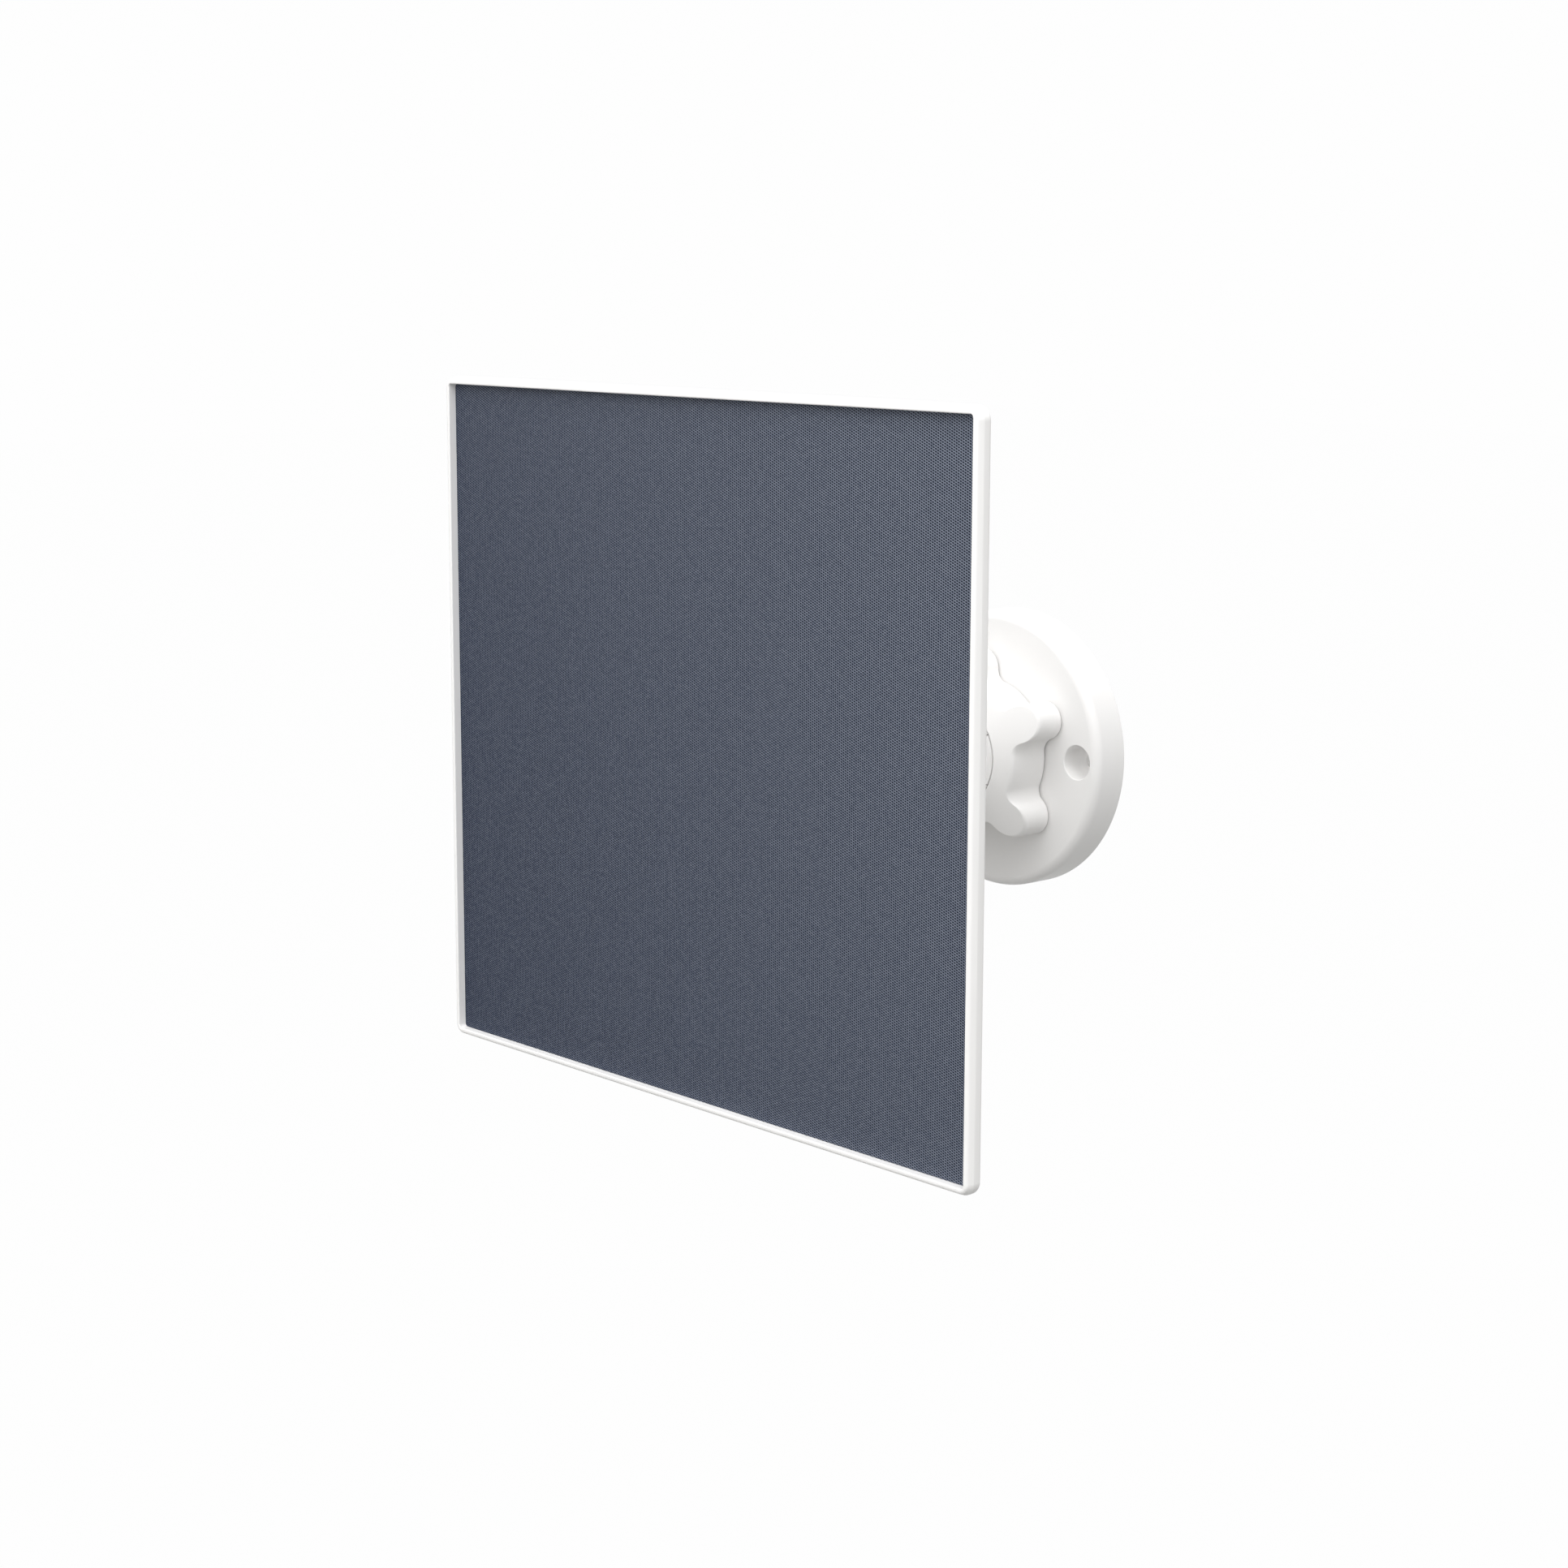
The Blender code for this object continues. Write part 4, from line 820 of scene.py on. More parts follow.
# %% [markdown]
# The film is a flat sheet that drops in behind the rim and lies close to its wall, with only a hair of
# clearance. Its pits are in its material, because at this pitch there are tens of thousands of them.

# %% Front film
FILM_CLEARANCE = 0.06 * MM
FILM_EDGE = 0.08 * MM

film_inset = RIM_WIDTH + FILM_CLEARANCE
section = [
    (film_inset + FILM_EDGE, RECESS_DEPTH),
    (film_inset, RECESS_DEPTH + FILM_EDGE),
    (film_inset, RECESS_DEPTH + FILM_THICKNESS),
]
film = lofted([panel_loop(inset, depth) for inset, depth in section])
front_film = piece_of("front_film", film, embossed_film, "panel", "textured_film", "cover_film")

# %% [markdown]
# The wall plate is a shallow dish, built as if turned on a lathe: a flat face with a round shoulder, a
# spherical socket that stands up in its middle, and a back cored out to an even wall.

# %% Wall plate
PLATE_R = 34.8 * MM
PLATE_FRONT = -10.0 * MM
PLATE_SHOULDER = 2.3 * MM
PLATE_REAR_FILLET = 0.5 * MM
PLATE_SKIN = 2.8 * MM
PLATE_CORE_R = 16.5 * MM
PLATE_FLOOR = -3.0 * MM
SOCKET_R = 12.3 * MM
SOCKET_OUTER_R = 14.7 * MM
BALL_CENTRE = -17.5 * MM
LIP_RISE = 6.3 * MM
LIP_WALL = 2.0 * MM
LIP_LAND = 0.9 * MM
SEAT_POCKET_R = 8.3 * MM
PLATE_STEPS = 144
SOCKET_STEPS = 24

lip_front = BALL_CENTRE - LIP_RISE
lip_inner_r = math.sqrt(SOCKET_R ** 2 - LIP_RISE ** 2)
lip_outer_r = lip_inner_r + LIP_WALL
shoulder_y = lip_front + LIP_LAND
cone_y = shoulder_y + (SOCKET_OUTER_R - lip_outer_r)
skin_y = PLATE_FRONT + PLATE_SKIN
outside = rounded([
    (0.0, 0.0, 0.0),
    (PLATE_CORE_R, 0.0, 0.0),
    (PLATE_CORE_R, skin_y, 0.0),
    (PLATE_R - PLATE_SKIN, skin_y, 0.0),
    (PLATE_R - PLATE_SKIN, 0.0, 0.0),
    (PLATE_R, 0.0, PLATE_REAR_FILLET),
    (PLATE_R, PLATE_FRONT, PLATE_SHOULDER),
    (SOCKET_OUTER_R, PLATE_FRONT, 0.0),
    (SOCKET_OUTER_R, cone_y, 0.0),
    (lip_outer_r, shoulder_y, 0.0),
    (lip_outer_r, lip_front, 0.0),
])
socket = arc(0.0, BALL_CENTRE, SOCKET_R, -math.asin(LIP_RISE / SOCKET_R),
             math.acos(SEAT_POCKET_R / SOCKET_R), SOCKET_STEPS)
pocket = [Vector((SEAT_POCKET_R, PLATE_FLOOR)), Vector((0.0, PLATE_FLOOR))]
plate = turned(outside + socket + pocket, PLATE_STEPS)
print("plate", round(2.0 * PLATE_R / MM, 1), "mm across, socket", round(2.0 * SOCKET_R / MM, 1), "mm")

# %% [markdown]
# Ribs and screw bosses stiffen the cored back. Both are patterns round the axis, joined to the plate
# with booleans. They start inside the plate's skin, so that the solver has a clear overlap to weld.

# %% Ribs and bosses of the plate
RIB_COUNT = 6
RIB_THICKNESS = 1.6 * MM
RIB_SETBACK = 1.0 * MM
HOLE_COUNT = 3
HOLE_CIRCLE_R = 28.0 * MM
BOSS_R = 6.4 * MM
BOSS_SETBACK = 0.4 * MM
HOLE_STEPS = 48

overlap = PLATE_SKIN / 2.0
rib = block((PLATE_CORE_R - overlap, skin_y - overlap, -RIB_THICKNESS / 2.0),
            (PLATE_R - overlap, -RIB_SETBACK, RIB_THICKNESS / 2.0))
plate = combined(plate, repeated(rib, RIB_COUNT), "UNION")
boss_profile = [(0.0, skin_y - overlap), (BOSS_R, skin_y - overlap),
                (BOSS_R, -BOSS_SETBACK), (0.0, -BOSS_SETBACK)]
boss = moved(turned(boss_profile, HOLE_STEPS), (HOLE_CIRCLE_R, 0.0, 0.0))
plate = combined(plate, repeated(boss, HOLE_COUNT), "UNION")
print("plate with", RIB_COUNT, "ribs and", HOLE_COUNT, "bosses")

# %% [markdown]
# Counterbored holes take the wall screws, each with a rounded lip and a fillet on its floor. Slots split
# the socket into springy fingers. The slots cross on the axis, so they are cut one after another.

# %% Holes and slots of the plate
HOLE_R = 2.25 * MM
COUNTERBORE_R = 4.2 * MM
COUNTERBORE_DEPTH = 6.0 * MM
COUNTERBORE_FILLET = 1.6 * MM
COUNTERBORE_LIP = 0.3 * MM
SLOT_PAIRS = 3
SLOT_WIDTH = 0.35 * MM
SLOT_FLOOR = 2.5 * MM
SLOT_REACH = 2.0 * SOCKET_OUTER_R
CUT_MARGIN = 0.5 * MM

seat_y = PLATE_FRONT + COUNTERBORE_DEPTH
hole_profile = rounded([
    (0.0, CUT_MARGIN, 0.0),
    (HOLE_R, CUT_MARGIN, 0.0),
    (HOLE_R, seat_y, 0.0),
    (COUNTERBORE_R, seat_y, COUNTERBORE_FILLET),
    (COUNTERBORE_R, PLATE_FRONT + COUNTERBORE_LIP, 0.0),
])
hole_profile += arc(COUNTERBORE_R + COUNTERBORE_LIP, PLATE_FRONT + COUNTERBORE_LIP, COUNTERBORE_LIP,
                    -math.pi, -math.pi / 2.0, FILLET_STEPS)[1:]
hole_profile += [Vector((COUNTERBORE_R + COUNTERBORE_LIP, PLATE_FRONT - CUT_MARGIN)),
                 Vector((0.0, PLATE_FRONT - CUT_MARGIN))]
hole = moved(turned(hole_profile, HOLE_STEPS), (HOLE_CIRCLE_R, 0.0, 0.0))
plate = combined(plate, repeated(hole, HOLE_COUNT), "DIFFERENCE")

for pair in range(SLOT_PAIRS):
    slot = block((-SLOT_REACH, lip_front - CUT_MARGIN, -SLOT_WIDTH / 2.0),
                 (SLOT_REACH, PLATE_FRONT - SLOT_FLOOR, SLOT_WIDTH / 2.0))
    angle = math.pi * (pair + 0.5) / SLOT_PAIRS
    bmesh.ops.rotate(slot, verts=slot.verts, cent=(0, 0, 0), matrix=Matrix.Rotation(-angle, 3, "Y"))
    plate = combined(plate, slot, "DIFFERENCE")
plate_moulding = piece_of("plate_moulding", plate, white_abs, "bracket", "white_abs", "wall_plate")

# %% [markdown]
# The lock ring is the piece a hand turns: a cone with five finger lobes that squeezes the socket's
# fingers on to the ball. Its outline is all arcs, a round tip, a reverse fillet and a stretch of the
# valley circle, mirrored for the other half of the lobe.

# %% Outline of the lock ring
RING_LOBES = 5
RING_FIRST_LOBE = math.radians(27.0)
RING_TIP_R = 25.5 * MM
RING_TIP_ROUND = 4.7 * MM
RING_VALLEY_R = 17.8 * MM
RING_VALLEY_FILLET = 3.4 * MM
TIP_STEPS = 16
VALLEY_FILLET_STEPS = 10
VALLEY_STEPS = 8


def lobed_outline():
    """Angle and radius of each point round the ring."""
    tip_centre = RING_TIP_R - RING_TIP_ROUND
    fillet_centre = RING_VALLEY_R + RING_VALLEY_FILLET
    span = RING_TIP_ROUND + RING_VALLEY_FILLET
    cosine = (fillet_centre ** 2 + tip_centre ** 2 - span ** 2) / (2.0 * fillet_centre * tip_centre)
    fillet_angle = math.acos(cosine)
    fillet_x = fillet_centre * math.cos(fillet_angle)
    fillet_z = fillet_centre * math.sin(fillet_angle)
    meet_angle = math.atan2(fillet_z, fillet_x - tip_centre)
    half_lobe = arc(tip_centre, 0.0, RING_TIP_ROUND, 0.0, meet_angle, TIP_STEPS)
    half_lobe += arc(fillet_x, fillet_z, RING_VALLEY_FILLET, meet_angle - math.pi,
                     fillet_angle - math.pi, VALLEY_FILLET_STEPS)[1:]
    half_lobe += arc(0.0, 0.0, RING_VALLEY_R, fillet_angle, math.pi / RING_LOBES, VALLEY_STEPS)[1:]
    polar = [(math.atan2(point.y, point.x), point.length) for point in half_lobe]
    lobe = [(-angle, radius) for angle, radius in reversed(polar[1:-1])] + polar
    outline = []
    for k in range(RING_LOBES):
        turn = RING_FIRST_LOBE + 2.0 * math.pi * k / RING_LOBES
        outline += [(turn + angle, radius) for angle, radius in lobe]
    return outline


print("lock ring outline has", len(lobed_outline()), "points")

# %% [markdown]
# At each point of the outline the section is the same cone, cut off at that radius with a round edge, so
# the lobes rise out of the cone by themselves. The bore narrows towards the mouth, which is what
# squeezes the fingers.

# %% Lock ring
RING_SLOPE = 0.46
RING_EDGE_FILLET = 1.3 * MM
RING_REAR_FILLET = 0.5 * MM
RING_MOUTH_R = 12.864 * MM
RING_MOUTH_EDGE = 0.35 * MM
RING_MOUTH_LIP = 1.1 * MM
RING_BORE_R = 15.0 * MM
RING_REAR = -10.4 * MM
RING_FRONT = -24.1 * MM


def ring_section(radius):
    """Section of the ring where its outline has this radius."""
    edge_y = RING_FRONT + RING_SLOPE * (radius - RING_MOUTH_R)
    throat_y = RING_FRONT + RING_MOUTH_LIP
    bore_end_y = throat_y + (RING_BORE_R - RING_MOUTH_R)
    return rounded([
        (RING_BORE_R, RING_REAR, 0.0),
        (radius, RING_REAR, RING_REAR_FILLET),
        (radius, edge_y, RING_EDGE_FILLET),
        (RING_MOUTH_R, RING_FRONT, RING_MOUTH_EDGE),
        (RING_MOUTH_R, throat_y, 0.0),
        (RING_BORE_R, bore_end_y, 0.0),
    ])


loops = []
for angle, radius in lobed_outline():
    loops.append([(a * math.cos(angle), y, a * math.sin(angle)) for a, y in ring_section(radius)])
lobed_ring = piece_of("lobed_ring", lofted(loops, ring=True), white_abs, "lock_ring", "white_abs",
                      "lock_ring")

# %% [markdown]
# The arm is turned in one piece with its ball: a sphere, a narrow neck that gives the joint its swing,
# a taper, and a flange that the wheel tightens against. The blind bore in the flange takes the stud. One
# profile holds it all, with an arc for the ball, so the ball runs into the neck without a seam.

# %% Ball and arm
BALL_R = 12.0 * MM
NECK_R = 4.5 * MM
NECK_LENGTH = 8.0 * MM
WAIST_R = 6.2 * MM
ARM_END_R = 7.4 * MM
FLANGE_R = 10.0 * MM
FLANGE_LENGTH = 5.0 * MM
ARM_FILLET = 1.5 * MM
ARM_END = -80.7 * MM
STUD_BORE_R = 3.475 * MM
STUD_IN_ARM = 14.3 * MM
BALL_STEPS = 48
ARM_STEPS = 96

neck_angle = math.asin(NECK_R / BALL_R)
ball = arc(0.0, BALL_CENTRE, BALL_R, math.pi / 2.0, neck_angle - math.pi / 2.0, BALL_STEPS)
neck_y = ball[-1].y
flange_y = ARM_END + FLANGE_LENGTH
arm = rounded([
    (NECK_R, neck_y, 0.0),
    (NECK_R, neck_y - NECK_LENGTH / 2.0, ARM_FILLET),
    (WAIST_R, neck_y - NECK_LENGTH, ARM_FILLET),
    (ARM_END_R, flange_y + ARM_FILLET, ARM_FILLET),
    (FLANGE_R, flange_y, ARM_FILLET / 2.0),
    (FLANGE_R, ARM_END, ARM_FILLET / 2.0),
    (STUD_BORE_R, ARM_END, 0.0),
    (STUD_BORE_R, ARM_END + STUD_IN_ARM, 0.0),
    (0.0, ARM_END + STUD_IN_ARM, 0.0),
])
ball_and_arm = piece_of("ball_and_arm", turned(ball + arm[1:], ARM_STEPS), white_abs, "stem",
                        "white_abs", "ball_stem")

# %% [markdown]
# The jam wheel's rim is pressed in by sixteen shallow flutes for the fingers. Geometry Nodes follow
# that rule directly. In the first half of the tree a rectangle with filleted corners is swept round a
# circle, which gives a plain wheel.

# %% Plain wheel
WHEEL_R = 13.0 * MM
WHEEL_THICKNESS = 7.0 * MM
WHEEL_FLUTES = 16.0
WHEEL_FLUTE_DEPTH = 0.9 * MM
WHEEL_FILLET = 0.9 * MM
WHEEL_STEPS = 192

wheel_low, wheel_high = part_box("jam_wheel")
wheel_values = {
    "Rim radius": WHEEL_R, "Bore radius": STUD_BORE_R, "Thickness": WHEEL_THICKNESS,
    "Edge fillet": WHEEL_FILLET, "Flutes": WHEEL_FLUTES, "Flute depth": WHEEL_FLUTE_DEPTH,
    "Along axis": (wheel_low.y + wheel_high.y) / 2.0, "Material": white_abs,
}
wheel_tree, given, wheel_inputs = new_tree(
    "fluted_wheel", dict.fromkeys(wheel_values, "Float") | {"Material": "Material"})
width = add_node(wheel_tree, "ShaderNodeMath", {0: given["Rim radius"], 1: given["Bore radius"]},
                 operation="SUBTRACT").outputs[0]
both = add_node(wheel_tree, "ShaderNodeMath", {0: given["Rim radius"], 1: given["Bore radius"]},
                operation="ADD").outputs[0]
middle = add_node(wheel_tree, "ShaderNodeMath", {0: both, 1: 0.5}, operation="MULTIPLY").outputs[0]
outline = add_node(wheel_tree, "GeometryNodeCurvePrimitiveQuadrilateral",
                   {"Width": width, "Height": given["Thickness"]}).outputs[0]
soft_outline = add_node(wheel_tree, "GeometryNodeFilletCurve",
                        {"Curve": outline, "Radius": given["Edge fillet"], "Count": FILLET_STEPS},
                        mode="POLY").outputs[0]
circle = add_node(wheel_tree, "GeometryNodeCurvePrimitiveCircle",
                  {"Resolution": WHEEL_STEPS, "Radius": middle}).outputs[0]
swept = add_node(wheel_tree, "GeometryNodeCurveToMesh",
                 {"Curve": circle, "Profile Curve": soft_outline}).outputs[0]
print("wheel inputs", list(wheel_inputs))

# %% [markdown]
# In the second half every point of the rim is drawn in by a cosine of its angle, fading out towards
# the bore. The tree stands along Z, so its last step lays the wheel along the bracket's Y axis.

# %% Jam wheel
def along_y(tree, shape, middle):
    """Lay what stands along Z along the Y axis, with its middle at this place on it."""
    place = add_node(tree, "ShaderNodeCombineXYZ", {"Y": middle}).outputs[0]
    return add_node(tree, "GeometryNodeTransform",
                    {"Geometry": shape, "Translation": place,
                     "Rotation": (math.pi / 2.0, 0.0, 0.0)}).outputs[0]


here = add_node(wheel_tree, "GeometryNodeInputPosition").outputs[0]
parts = add_node(wheel_tree, "ShaderNodeSeparateXYZ", {0: here}).outputs
angle = add_node(wheel_tree, "ShaderNodeMath", {0: parts["Y"], 1: parts["X"]},
                 operation="ARCTAN2").outputs[0]
phase = add_node(wheel_tree, "ShaderNodeMath", {0: angle, 1: given["Flutes"]},
                 operation="MULTIPLY").outputs[0]
wave = add_node(wheel_tree, "ShaderNodeMath", {0: phase}, operation="COSINE").outputs[0]
flat = add_node(wheel_tree, "ShaderNodeCombineXYZ", {"X": parts["X"], "Y": parts["Y"]}).outputs[0]
radius = add_node(wheel_tree, "ShaderNodeVectorMath", {0: flat}, operation="LENGTH").outputs["Value"]
fade = add_node(wheel_tree, "ShaderNodeMapRange",
                {"Value": radius, "From Min": middle, "From Max": given["Rim radius"]}).outputs[0]
dip = add_node(wheel_tree, "ShaderNodeMapRange",
               {"Value": wave, "From Min": 1.0, "From Max": -1.0,
                "To Max": given["Flute depth"]}).outputs[0]
drawn_in = add_node(wheel_tree, "ShaderNodeMath", {0: dip, 1: fade}, operation="MULTIPLY").outputs[0]
inward = add_node(wheel_tree, "ShaderNodeMath", {0: drawn_in, 1: radius}, operation="DIVIDE").outputs[0]
inward = add_node(wheel_tree, "ShaderNodeMath", {0: inward, 1: -1.0}, operation="MULTIPLY").outputs[0]
shift = add_node(wheel_tree, "ShaderNodeVectorMath", {0: flat, "Scale": inward},
                 operation="SCALE").outputs[0]
fluted = add_node(wheel_tree, "GeometryNodeSetPosition",
                  {"Geometry": swept, "Offset": shift}).outputs[0]
close_tree(wheel_tree, along_y(wheel_tree, fluted, given["Along axis"]), given["Material"])
wheel = outward(grown(wheel_tree, wheel_inputs, wheel_values))
fluted_wheel = piece_of("fluted_wheel", wheel, white_abs, "jam_wheel", "white_abs", "jam_wheel")

# %% [markdown]
# The stud has a camera thread, twenty turns to the inch. A spiral carries a small diamond section round
# a core bar, and a boolean inside the tree welds the two into one body, as rolled threads are one with
# their bar. The thread stops short of both ends of the bar.

# %% Threaded stud
STUD_CORE_R = 2.62 * MM
THREAD_PITCH = 1.27 * MM
THREAD_TIP = 0.545 * MM
THREAD_STEPS = 32
STUD_STEPS = 48

stud_low, stud_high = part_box("stem_stud")
stud_length = stud_high.y - stud_low.y
thread_turns = math.floor(stud_length / THREAD_PITCH) - 1.0
stud_values = {
    "Core radius": STUD_CORE_R, "Length": stud_length, "Thread height": thread_turns * THREAD_PITCH,
    "Turns": thread_turns, "Ridge size": THREAD_TIP, "Along axis": (stud_low.y + stud_high.y) / 2.0,
    "Material": stainless,
}
stud_tree, given, stud_inputs = new_tree(
    "threaded_stud", dict.fromkeys(stud_values, "Float") | {"Material": "Material"})
spiral = add_node(stud_tree, "GeometryNodeCurveSpiral",
                  {"Resolution": THREAD_STEPS, "Rotations": given["Turns"],
                   "Start Radius": given["Core radius"], "End Radius": given["Core radius"],
                   "Height": given["Thread height"]}).outputs[0]
diamond = add_node(stud_tree, "GeometryNodeCurvePrimitiveCircle",
                   {"Resolution": 4, "Radius": given["Ridge size"]}).outputs[0]
level = add_node(stud_tree, "GeometryNodeSetCurveNormal", {"Curve": spiral}, mode="Z_UP").outputs[0]
ridge = add_node(stud_tree, "GeometryNodeCurveToMesh",
                 {"Curve": level, "Profile Curve": diamond, "Fill Caps": True}).outputs[0]
half_height = add_node(stud_tree, "ShaderNodeMath", {0: given["Thread height"], 1: -0.5},
                       operation="MULTIPLY").outputs[0]
sunk = add_node(stud_tree, "ShaderNodeCombineXYZ", {"Z": half_height}).outputs[0]
ridge = add_node(stud_tree, "GeometryNodeTransform",
                 {"Geometry": ridge, "Translation": sunk}).outputs[0]
core = add_node(stud_tree, "GeometryNodeMeshCylinder",
                {"Vertices": STUD_STEPS, "Radius": given["Core radius"],
                 "Depth": given["Length"]}).outputs["Mesh"]
welded = add_node(stud_tree, "GeometryNodeMeshBoolean", {"Mesh 2": core},
                  operation="UNION", solver="EXACT")
stud_tree.links.new(ridge, welded.inputs["Mesh 2"])
close_tree(stud_tree, along_y(stud_tree, welded.outputs["Mesh"], given["Along axis"]),
           given["Material"])
stud = outward(grown(stud_tree, stud_inputs, stud_values))
threaded_stud = piece_of("threaded_stud", stud, stainless, "stem", "stainless_steel", "stem_stud")

# %% [markdown]
# The housing on the back is a turned cover with a foot, a rounded shoulder and a raised pad in the
# middle. The blind bore in the pad takes the brass insert. All of that is round, so one turned profile
# gives it, inside and out.

# %% Rear housing
FOOT_R = 32.0 * MM
FOOT_WIDTH = 5.0 * MM
FOOT_THICKNESS = 1.6 * MM
FOOT_FILLET = 0.5 * MM
SHOULDER_R = 29.4 * MM
TOP_R = 27.6 * MM
TOP_FILLET = 2.5 * MM
INNER_R = 25.4 * MM
PAD_R = 12.0 * MM
PAD_FILLET = 0.35 * MM
INSERT_BORE_R = 5.375 * MM
INSERT_BOSS_R = 8.575 * MM
HOUSING_FRONT = RIM_FRONT + 9.0 * MM
HOUSING_INSIDE = RIM_FRONT + 18.3 * MM
HOUSING_BACK = RIM_FRONT + 20.5 * MM
PAD_BACK = RIM_FRONT + 21.3 * MM
BORE_FLOOR = RIM_FRONT + 12.7 * MM
BOSS_FRONT = RIM_FRONT + 11.5 * MM
HOUSING_STEPS = 128

section = rounded([
    (0.0, BOSS_FRONT, 0.0),
    (INSERT_BOSS_R, BOSS_FRONT, 0.0),
    (INSERT_BOSS_R, HOUSING_INSIDE, 0.0),
    (INNER_R, HOUSING_INSIDE, 0.0),
    (FOOT_R - FOOT_WIDTH, HOUSING_FRONT, 0.0),
    (FOOT_R, HOUSING_FRONT, 0.0),
    (FOOT_R, HOUSING_FRONT + FOOT_THICKNESS, FOOT_FILLET),
    (SHOULDER_R, HOUSING_FRONT + FOOT_THICKNESS, FOOT_FILLET),
    (TOP_R, HOUSING_BACK, TOP_FILLET),
    (PAD_R, HOUSING_BACK, PAD_FILLET),
    (PAD_R, PAD_BACK, PAD_FILLET),
    (INSERT_BORE_R, PAD_BACK, 0.0),
    (INSERT_BORE_R, BORE_FLOOR, 0.0),
    (0.0, BORE_FLOOR, 0.0),
])
housing = turned(section, HOUSING_STEPS)
print("housing", round(2.0 * FOOT_R / MM, 1), "mm across its foot")

# %% [markdown]
# Four screws go down through seats in the housing's top, and a boss underneath takes the lead's gland.
# The boss and its hole are turned along +Y like everything else, and then swung to point down.

# %% Ways into the housing
SCREW_COUNT = 4
SCREW_FIRST_ANGLE = math.radians(45.0)
SCREW_CIRCLE_R = 20.6 * MM
SCREW_HOLE_R = 1.55 * MM
SCREW_SEAT_R = 2.9 * MM
SCREW_SEAT = HOUSING_INSIDE + 1.0 * MM
GLAND_MIDDLE = RIM_FRONT + 15.55 * MM
GLAND_FACE = -31.0 * MM
GLAND_BOSS_R = 5.0 * MM
GLAND_BOSS_LENGTH = 4.8 * MM
GLAND_HOLE_R = 3.4 * MM
GLAND_HOLE_DEPTH = 9.6 * MM


def pointed_down(shape):
    """Turn a shape made along +Y so that it runs up from the gland's face under the housing."""
    quarter = Matrix.Rotation(math.pi / 2.0, 3, "X")
    bmesh.ops.rotate(shape, verts=shape.verts, cent=(0, 0, 0), matrix=quarter)
    return moved(shape, (0.0, GLAND_MIDDLE, GLAND_FACE))


boss_profile = rounded([(0.0, 0.0, 0.0), (GLAND_BOSS_R, 0.0, FOOT_FILLET),
                        (GLAND_BOSS_R, GLAND_BOSS_LENGTH, 0.0), (0.0, GLAND_BOSS_LENGTH, 0.0)])
housing = combined(housing, pointed_down(turned(boss_profile, HOLE_STEPS)), "UNION")
hole_profile = [(0.0, -CUT_MARGIN), (GLAND_HOLE_R, -CUT_MARGIN),
                (GLAND_HOLE_R, GLAND_HOLE_DEPTH), (0.0, GLAND_HOLE_DEPTH)]
housing = combined(housing, pointed_down(turned(hole_profile, HOLE_STEPS)), "DIFFERENCE")
seat_profile = [(0.0, HOUSING_INSIDE - CUT_MARGIN), (SCREW_HOLE_R, HOUSING_INSIDE - CUT_MARGIN),
                (SCREW_HOLE_R, SCREW_SEAT), (SCREW_SEAT_R, SCREW_SEAT),
                (SCREW_SEAT_R, PAD_BACK), (0.0, PAD_BACK)]
seat = moved(turned(seat_profile, HOLE_STEPS), (SCREW_CIRCLE_R, 0.0, 0.0))
housing = combined(housing, repeated(seat, SCREW_COUNT, SCREW_FIRST_ANGLE), "DIFFERENCE")
housing_cover = piece_of("housing_cover", housing, white_abs, "panel", "white_abs", "rear_housing")

# %% [markdown]
# The cover screws are small pan heads with a cross recess. One is modelled, its recess cut by two
# tapered blades, and the pattern tree sets four of them round the housing as one mesh.

# %% Cover screws
SHANK_R = 1.25 * MM
HEAD_R = 2.6 * MM
HEAD_HEIGHT = 1.6 * MM
HEAD_FILLET = 0.15 * MM
TIP_FILLET = 0.3 * MM
HEAD_SEAT = SCREW_SEAT + 0.3 * MM
SHANK_TIP = SCREW_SEAT - 6.7 * MM
CROSS_REACH = 1.35 * MM
CROSS_WIDTH = 0.62 * MM
CROSS_DEPTH = 1.0 * MM
CROSS_TAPER = 0.45
SCREW_STEPS = 32

head_top = HEAD_SEAT + HEAD_HEIGHT
screw_profile = rounded([
    (0.0, SHANK_TIP, 0.0),
    (SHANK_R, SHANK_TIP, TIP_FILLET),
    (SHANK_R, HEAD_SEAT, 0.0),
    (HEAD_R, HEAD_SEAT, HEAD_FILLET),
    (HEAD_R, head_top, HEAD_HEIGHT / 2.0),
    (0.0, head_top, 0.0),
])
screw = turned(screw_profile, SCREW_STEPS)
half_width = CROSS_WIDTH / 2.0
blade_ends = ((CROSS_REACH * CROSS_TAPER, head_top - CROSS_DEPTH), (CROSS_REACH, head_top + CUT_MARGIN))
for along_x in (True, False):
    blade = []
    for reach, y in blade_ends:
        corners = ((-reach, -half_width), (reach, -half_width), (reach, half_width), (-reach, half_width))
        blade.append([(a, y, b) if along_x else (b, y, a) for a, b in corners])
    screw = combined(screw, lofted(blade), "DIFFERENCE")
screw = moved(screw, (SCREW_CIRCLE_R, 0.0, 0.0))
screws = repeated(screw, SCREW_COUNT, SCREW_FIRST_ANGLE, tumbled_steel)
cover_screws = piece_of("cover_screws", screws, tumbled_steel, "panel", "stainless_steel",
                        *[f"cover_screw_{number}" for number in range(1, SCREW_COUNT + 1)])

# %% [markdown]
# The last rubber parts are turned rings with soft edges: the gland that seals the lead's way in, the
# washer that the wheel squeezes against the pad, and the flat gasket under the housing's foot. Each is a
# closed section turned into a ring.

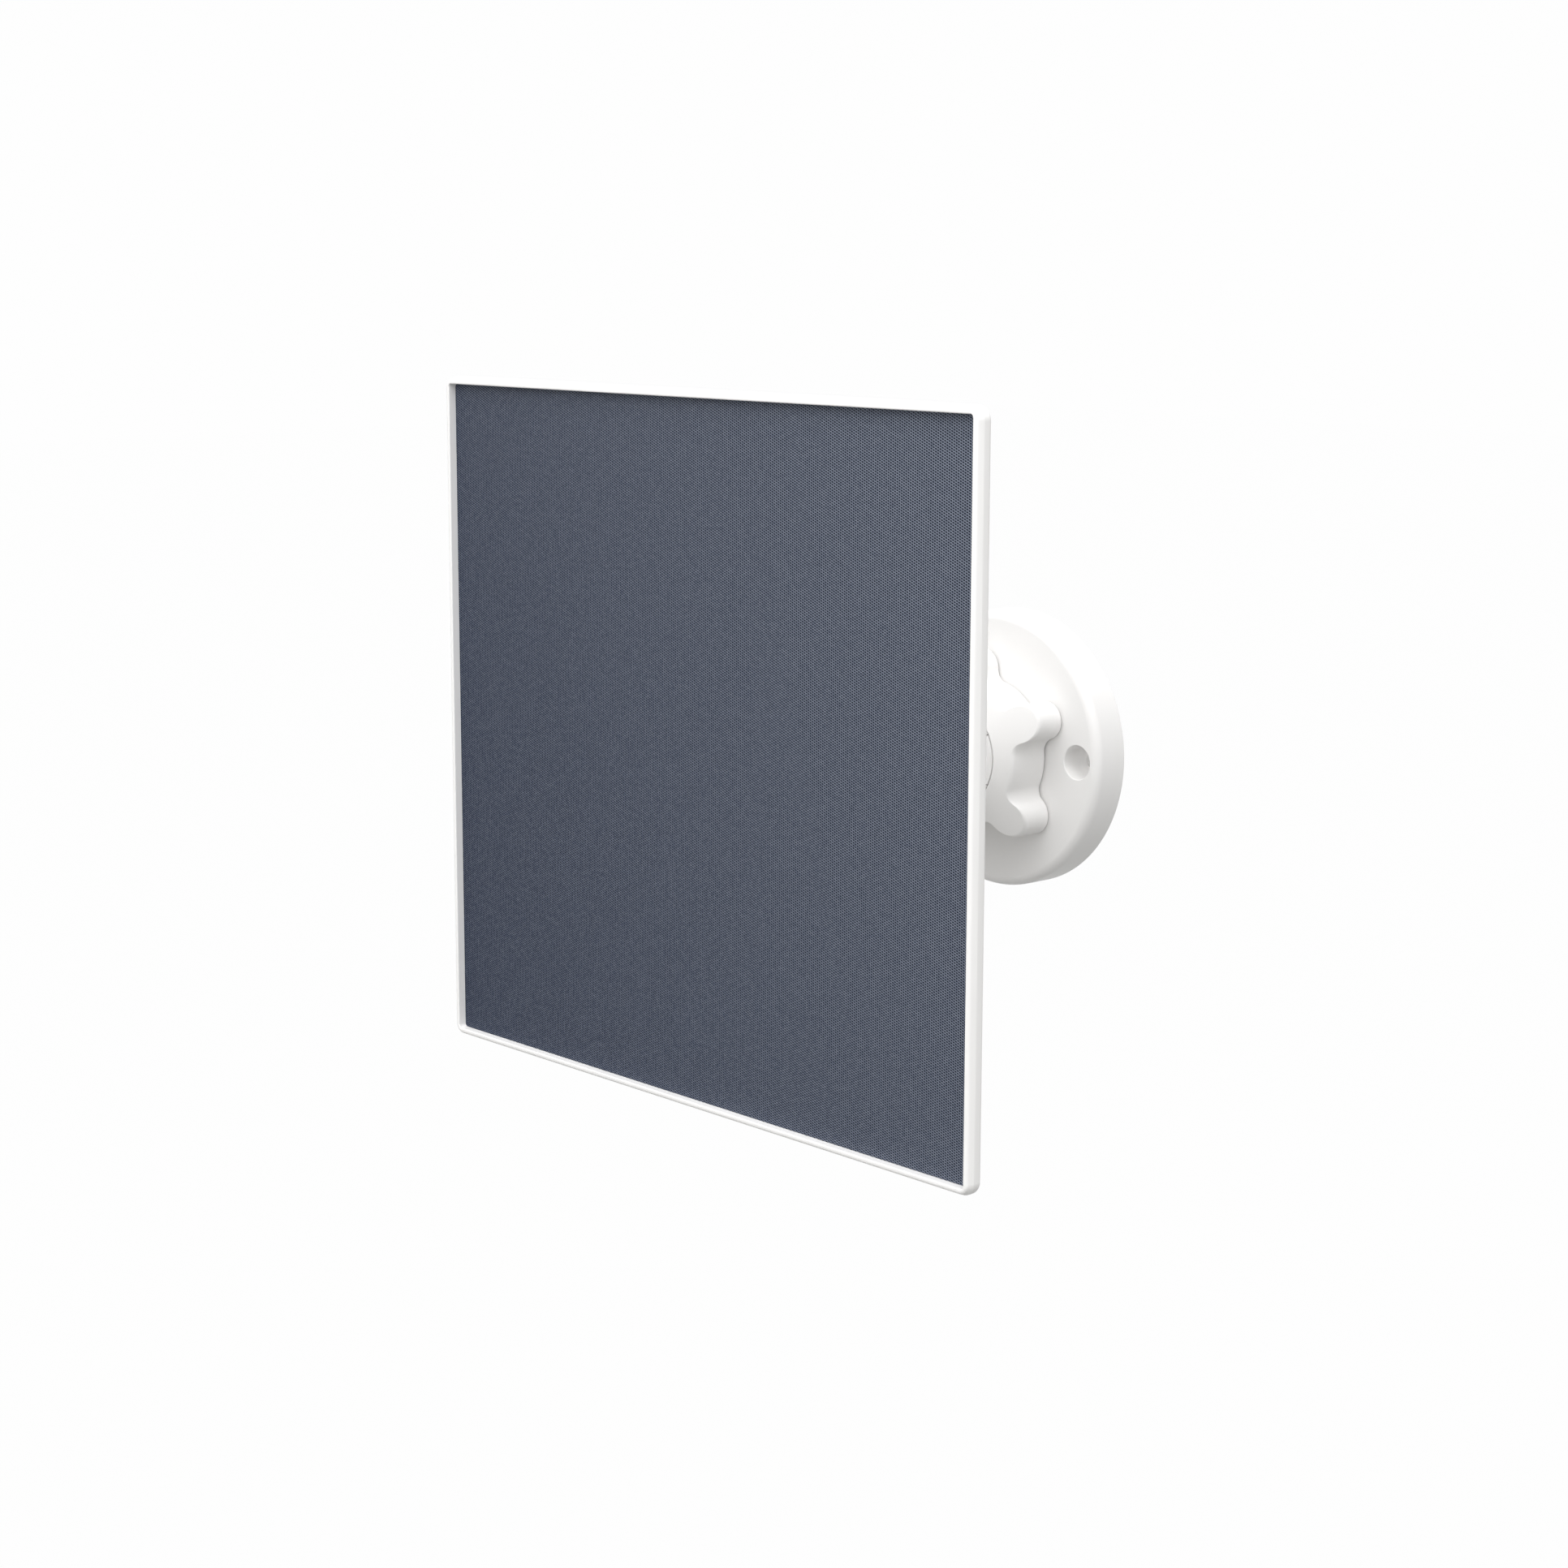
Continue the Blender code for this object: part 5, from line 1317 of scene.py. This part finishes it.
# %% Gland, washer and gasket
GLAND_BORE_R = 2.2 * MM
GLAND_BARREL_R = 3.1 * MM
GLAND_FLANGE_R = 4.2 * MM
GLAND_FLANGE = 1.6 * MM
GLAND_BARREL_TOP = 6.4 * MM
GLAND_LEAD_IN = 0.3 * MM
WASHER_R = 11.0 * MM
RUBBER_EDGE = 0.35 * MM
RING_STEPS = 64

section = rounded([
    (GLAND_BORE_R, GLAND_BARREL_TOP, RUBBER_EDGE),
    (GLAND_BARREL_R, GLAND_BARREL_TOP, RUBBER_EDGE),
    (GLAND_BARREL_R, -GLAND_LEAD_IN, 0.0),
    (GLAND_FLANGE_R, -GLAND_LEAD_IN, RUBBER_EDGE),
    (GLAND_FLANGE_R, -GLAND_LEAD_IN - GLAND_FLANGE, 2.0 * RUBBER_EDGE),
    (GLAND_BORE_R, -GLAND_LEAD_IN - GLAND_FLANGE, RUBBER_EDGE),
])
gland = pointed_down(turned(section, RING_STEPS, ring=True))
lead_gland = piece_of("lead_gland", gland, black_rubber, "panel", "black_rubber", "cable_gland")


def soft_ring(name, node, inner_r, outer_r):
    """A flat rubber ring with rounded edges, as thick as its node."""
    low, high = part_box(node)
    section = rounded([
        (inner_r, low.y, RUBBER_EDGE),
        (inner_r, high.y, RUBBER_EDGE),
        (outer_r, high.y, RUBBER_EDGE),
        (outer_r, low.y, RUBBER_EDGE),
    ])
    shape = turned(section, HOUSING_STEPS, ring=True)
    return piece_of(name, shape, black_rubber, "panel", "black_rubber", node)


squeeze_washer = soft_ring("squeeze_washer", "grip_washer", STUD_BORE_R, WASHER_R)
foot_gasket = soft_ring("foot_gasket", "housing_gasket", FOOT_R - FOOT_WIDTH, FOOT_R)

# %% [markdown]
# What is left are nodes whose shape is already right. They keep their shape and only change their
# material, by the slot that the record gives each of them.

# %% Materials on the remaining nodes
finish_of_slot = {
    "white_abs": white_abs, "textured_film": embossed_film, "silicon": silicon,
    "glass_fibre_board": glass_fibre, "bonding_tape": foam_tape, "black_rubber": black_rubber,
    "grey_rubber": grey_rubber, "stainless_steel": stainless, "brass": brass,
    "green_circuit_board": solder_mask, "black_epoxy": epoxy, "tinned_copper": tinned,
}
for entry in frame["record"]["subparts"]:
    node = nodes[entry["node"]]
    for material_slot in node.material_slots:
        material_slot.material = finish_of_slot[entry["material_slot"]]
kept = [name for name, node in nodes.items() if not node.hide_render]
print("nodes that keep their shape:", len(kept))
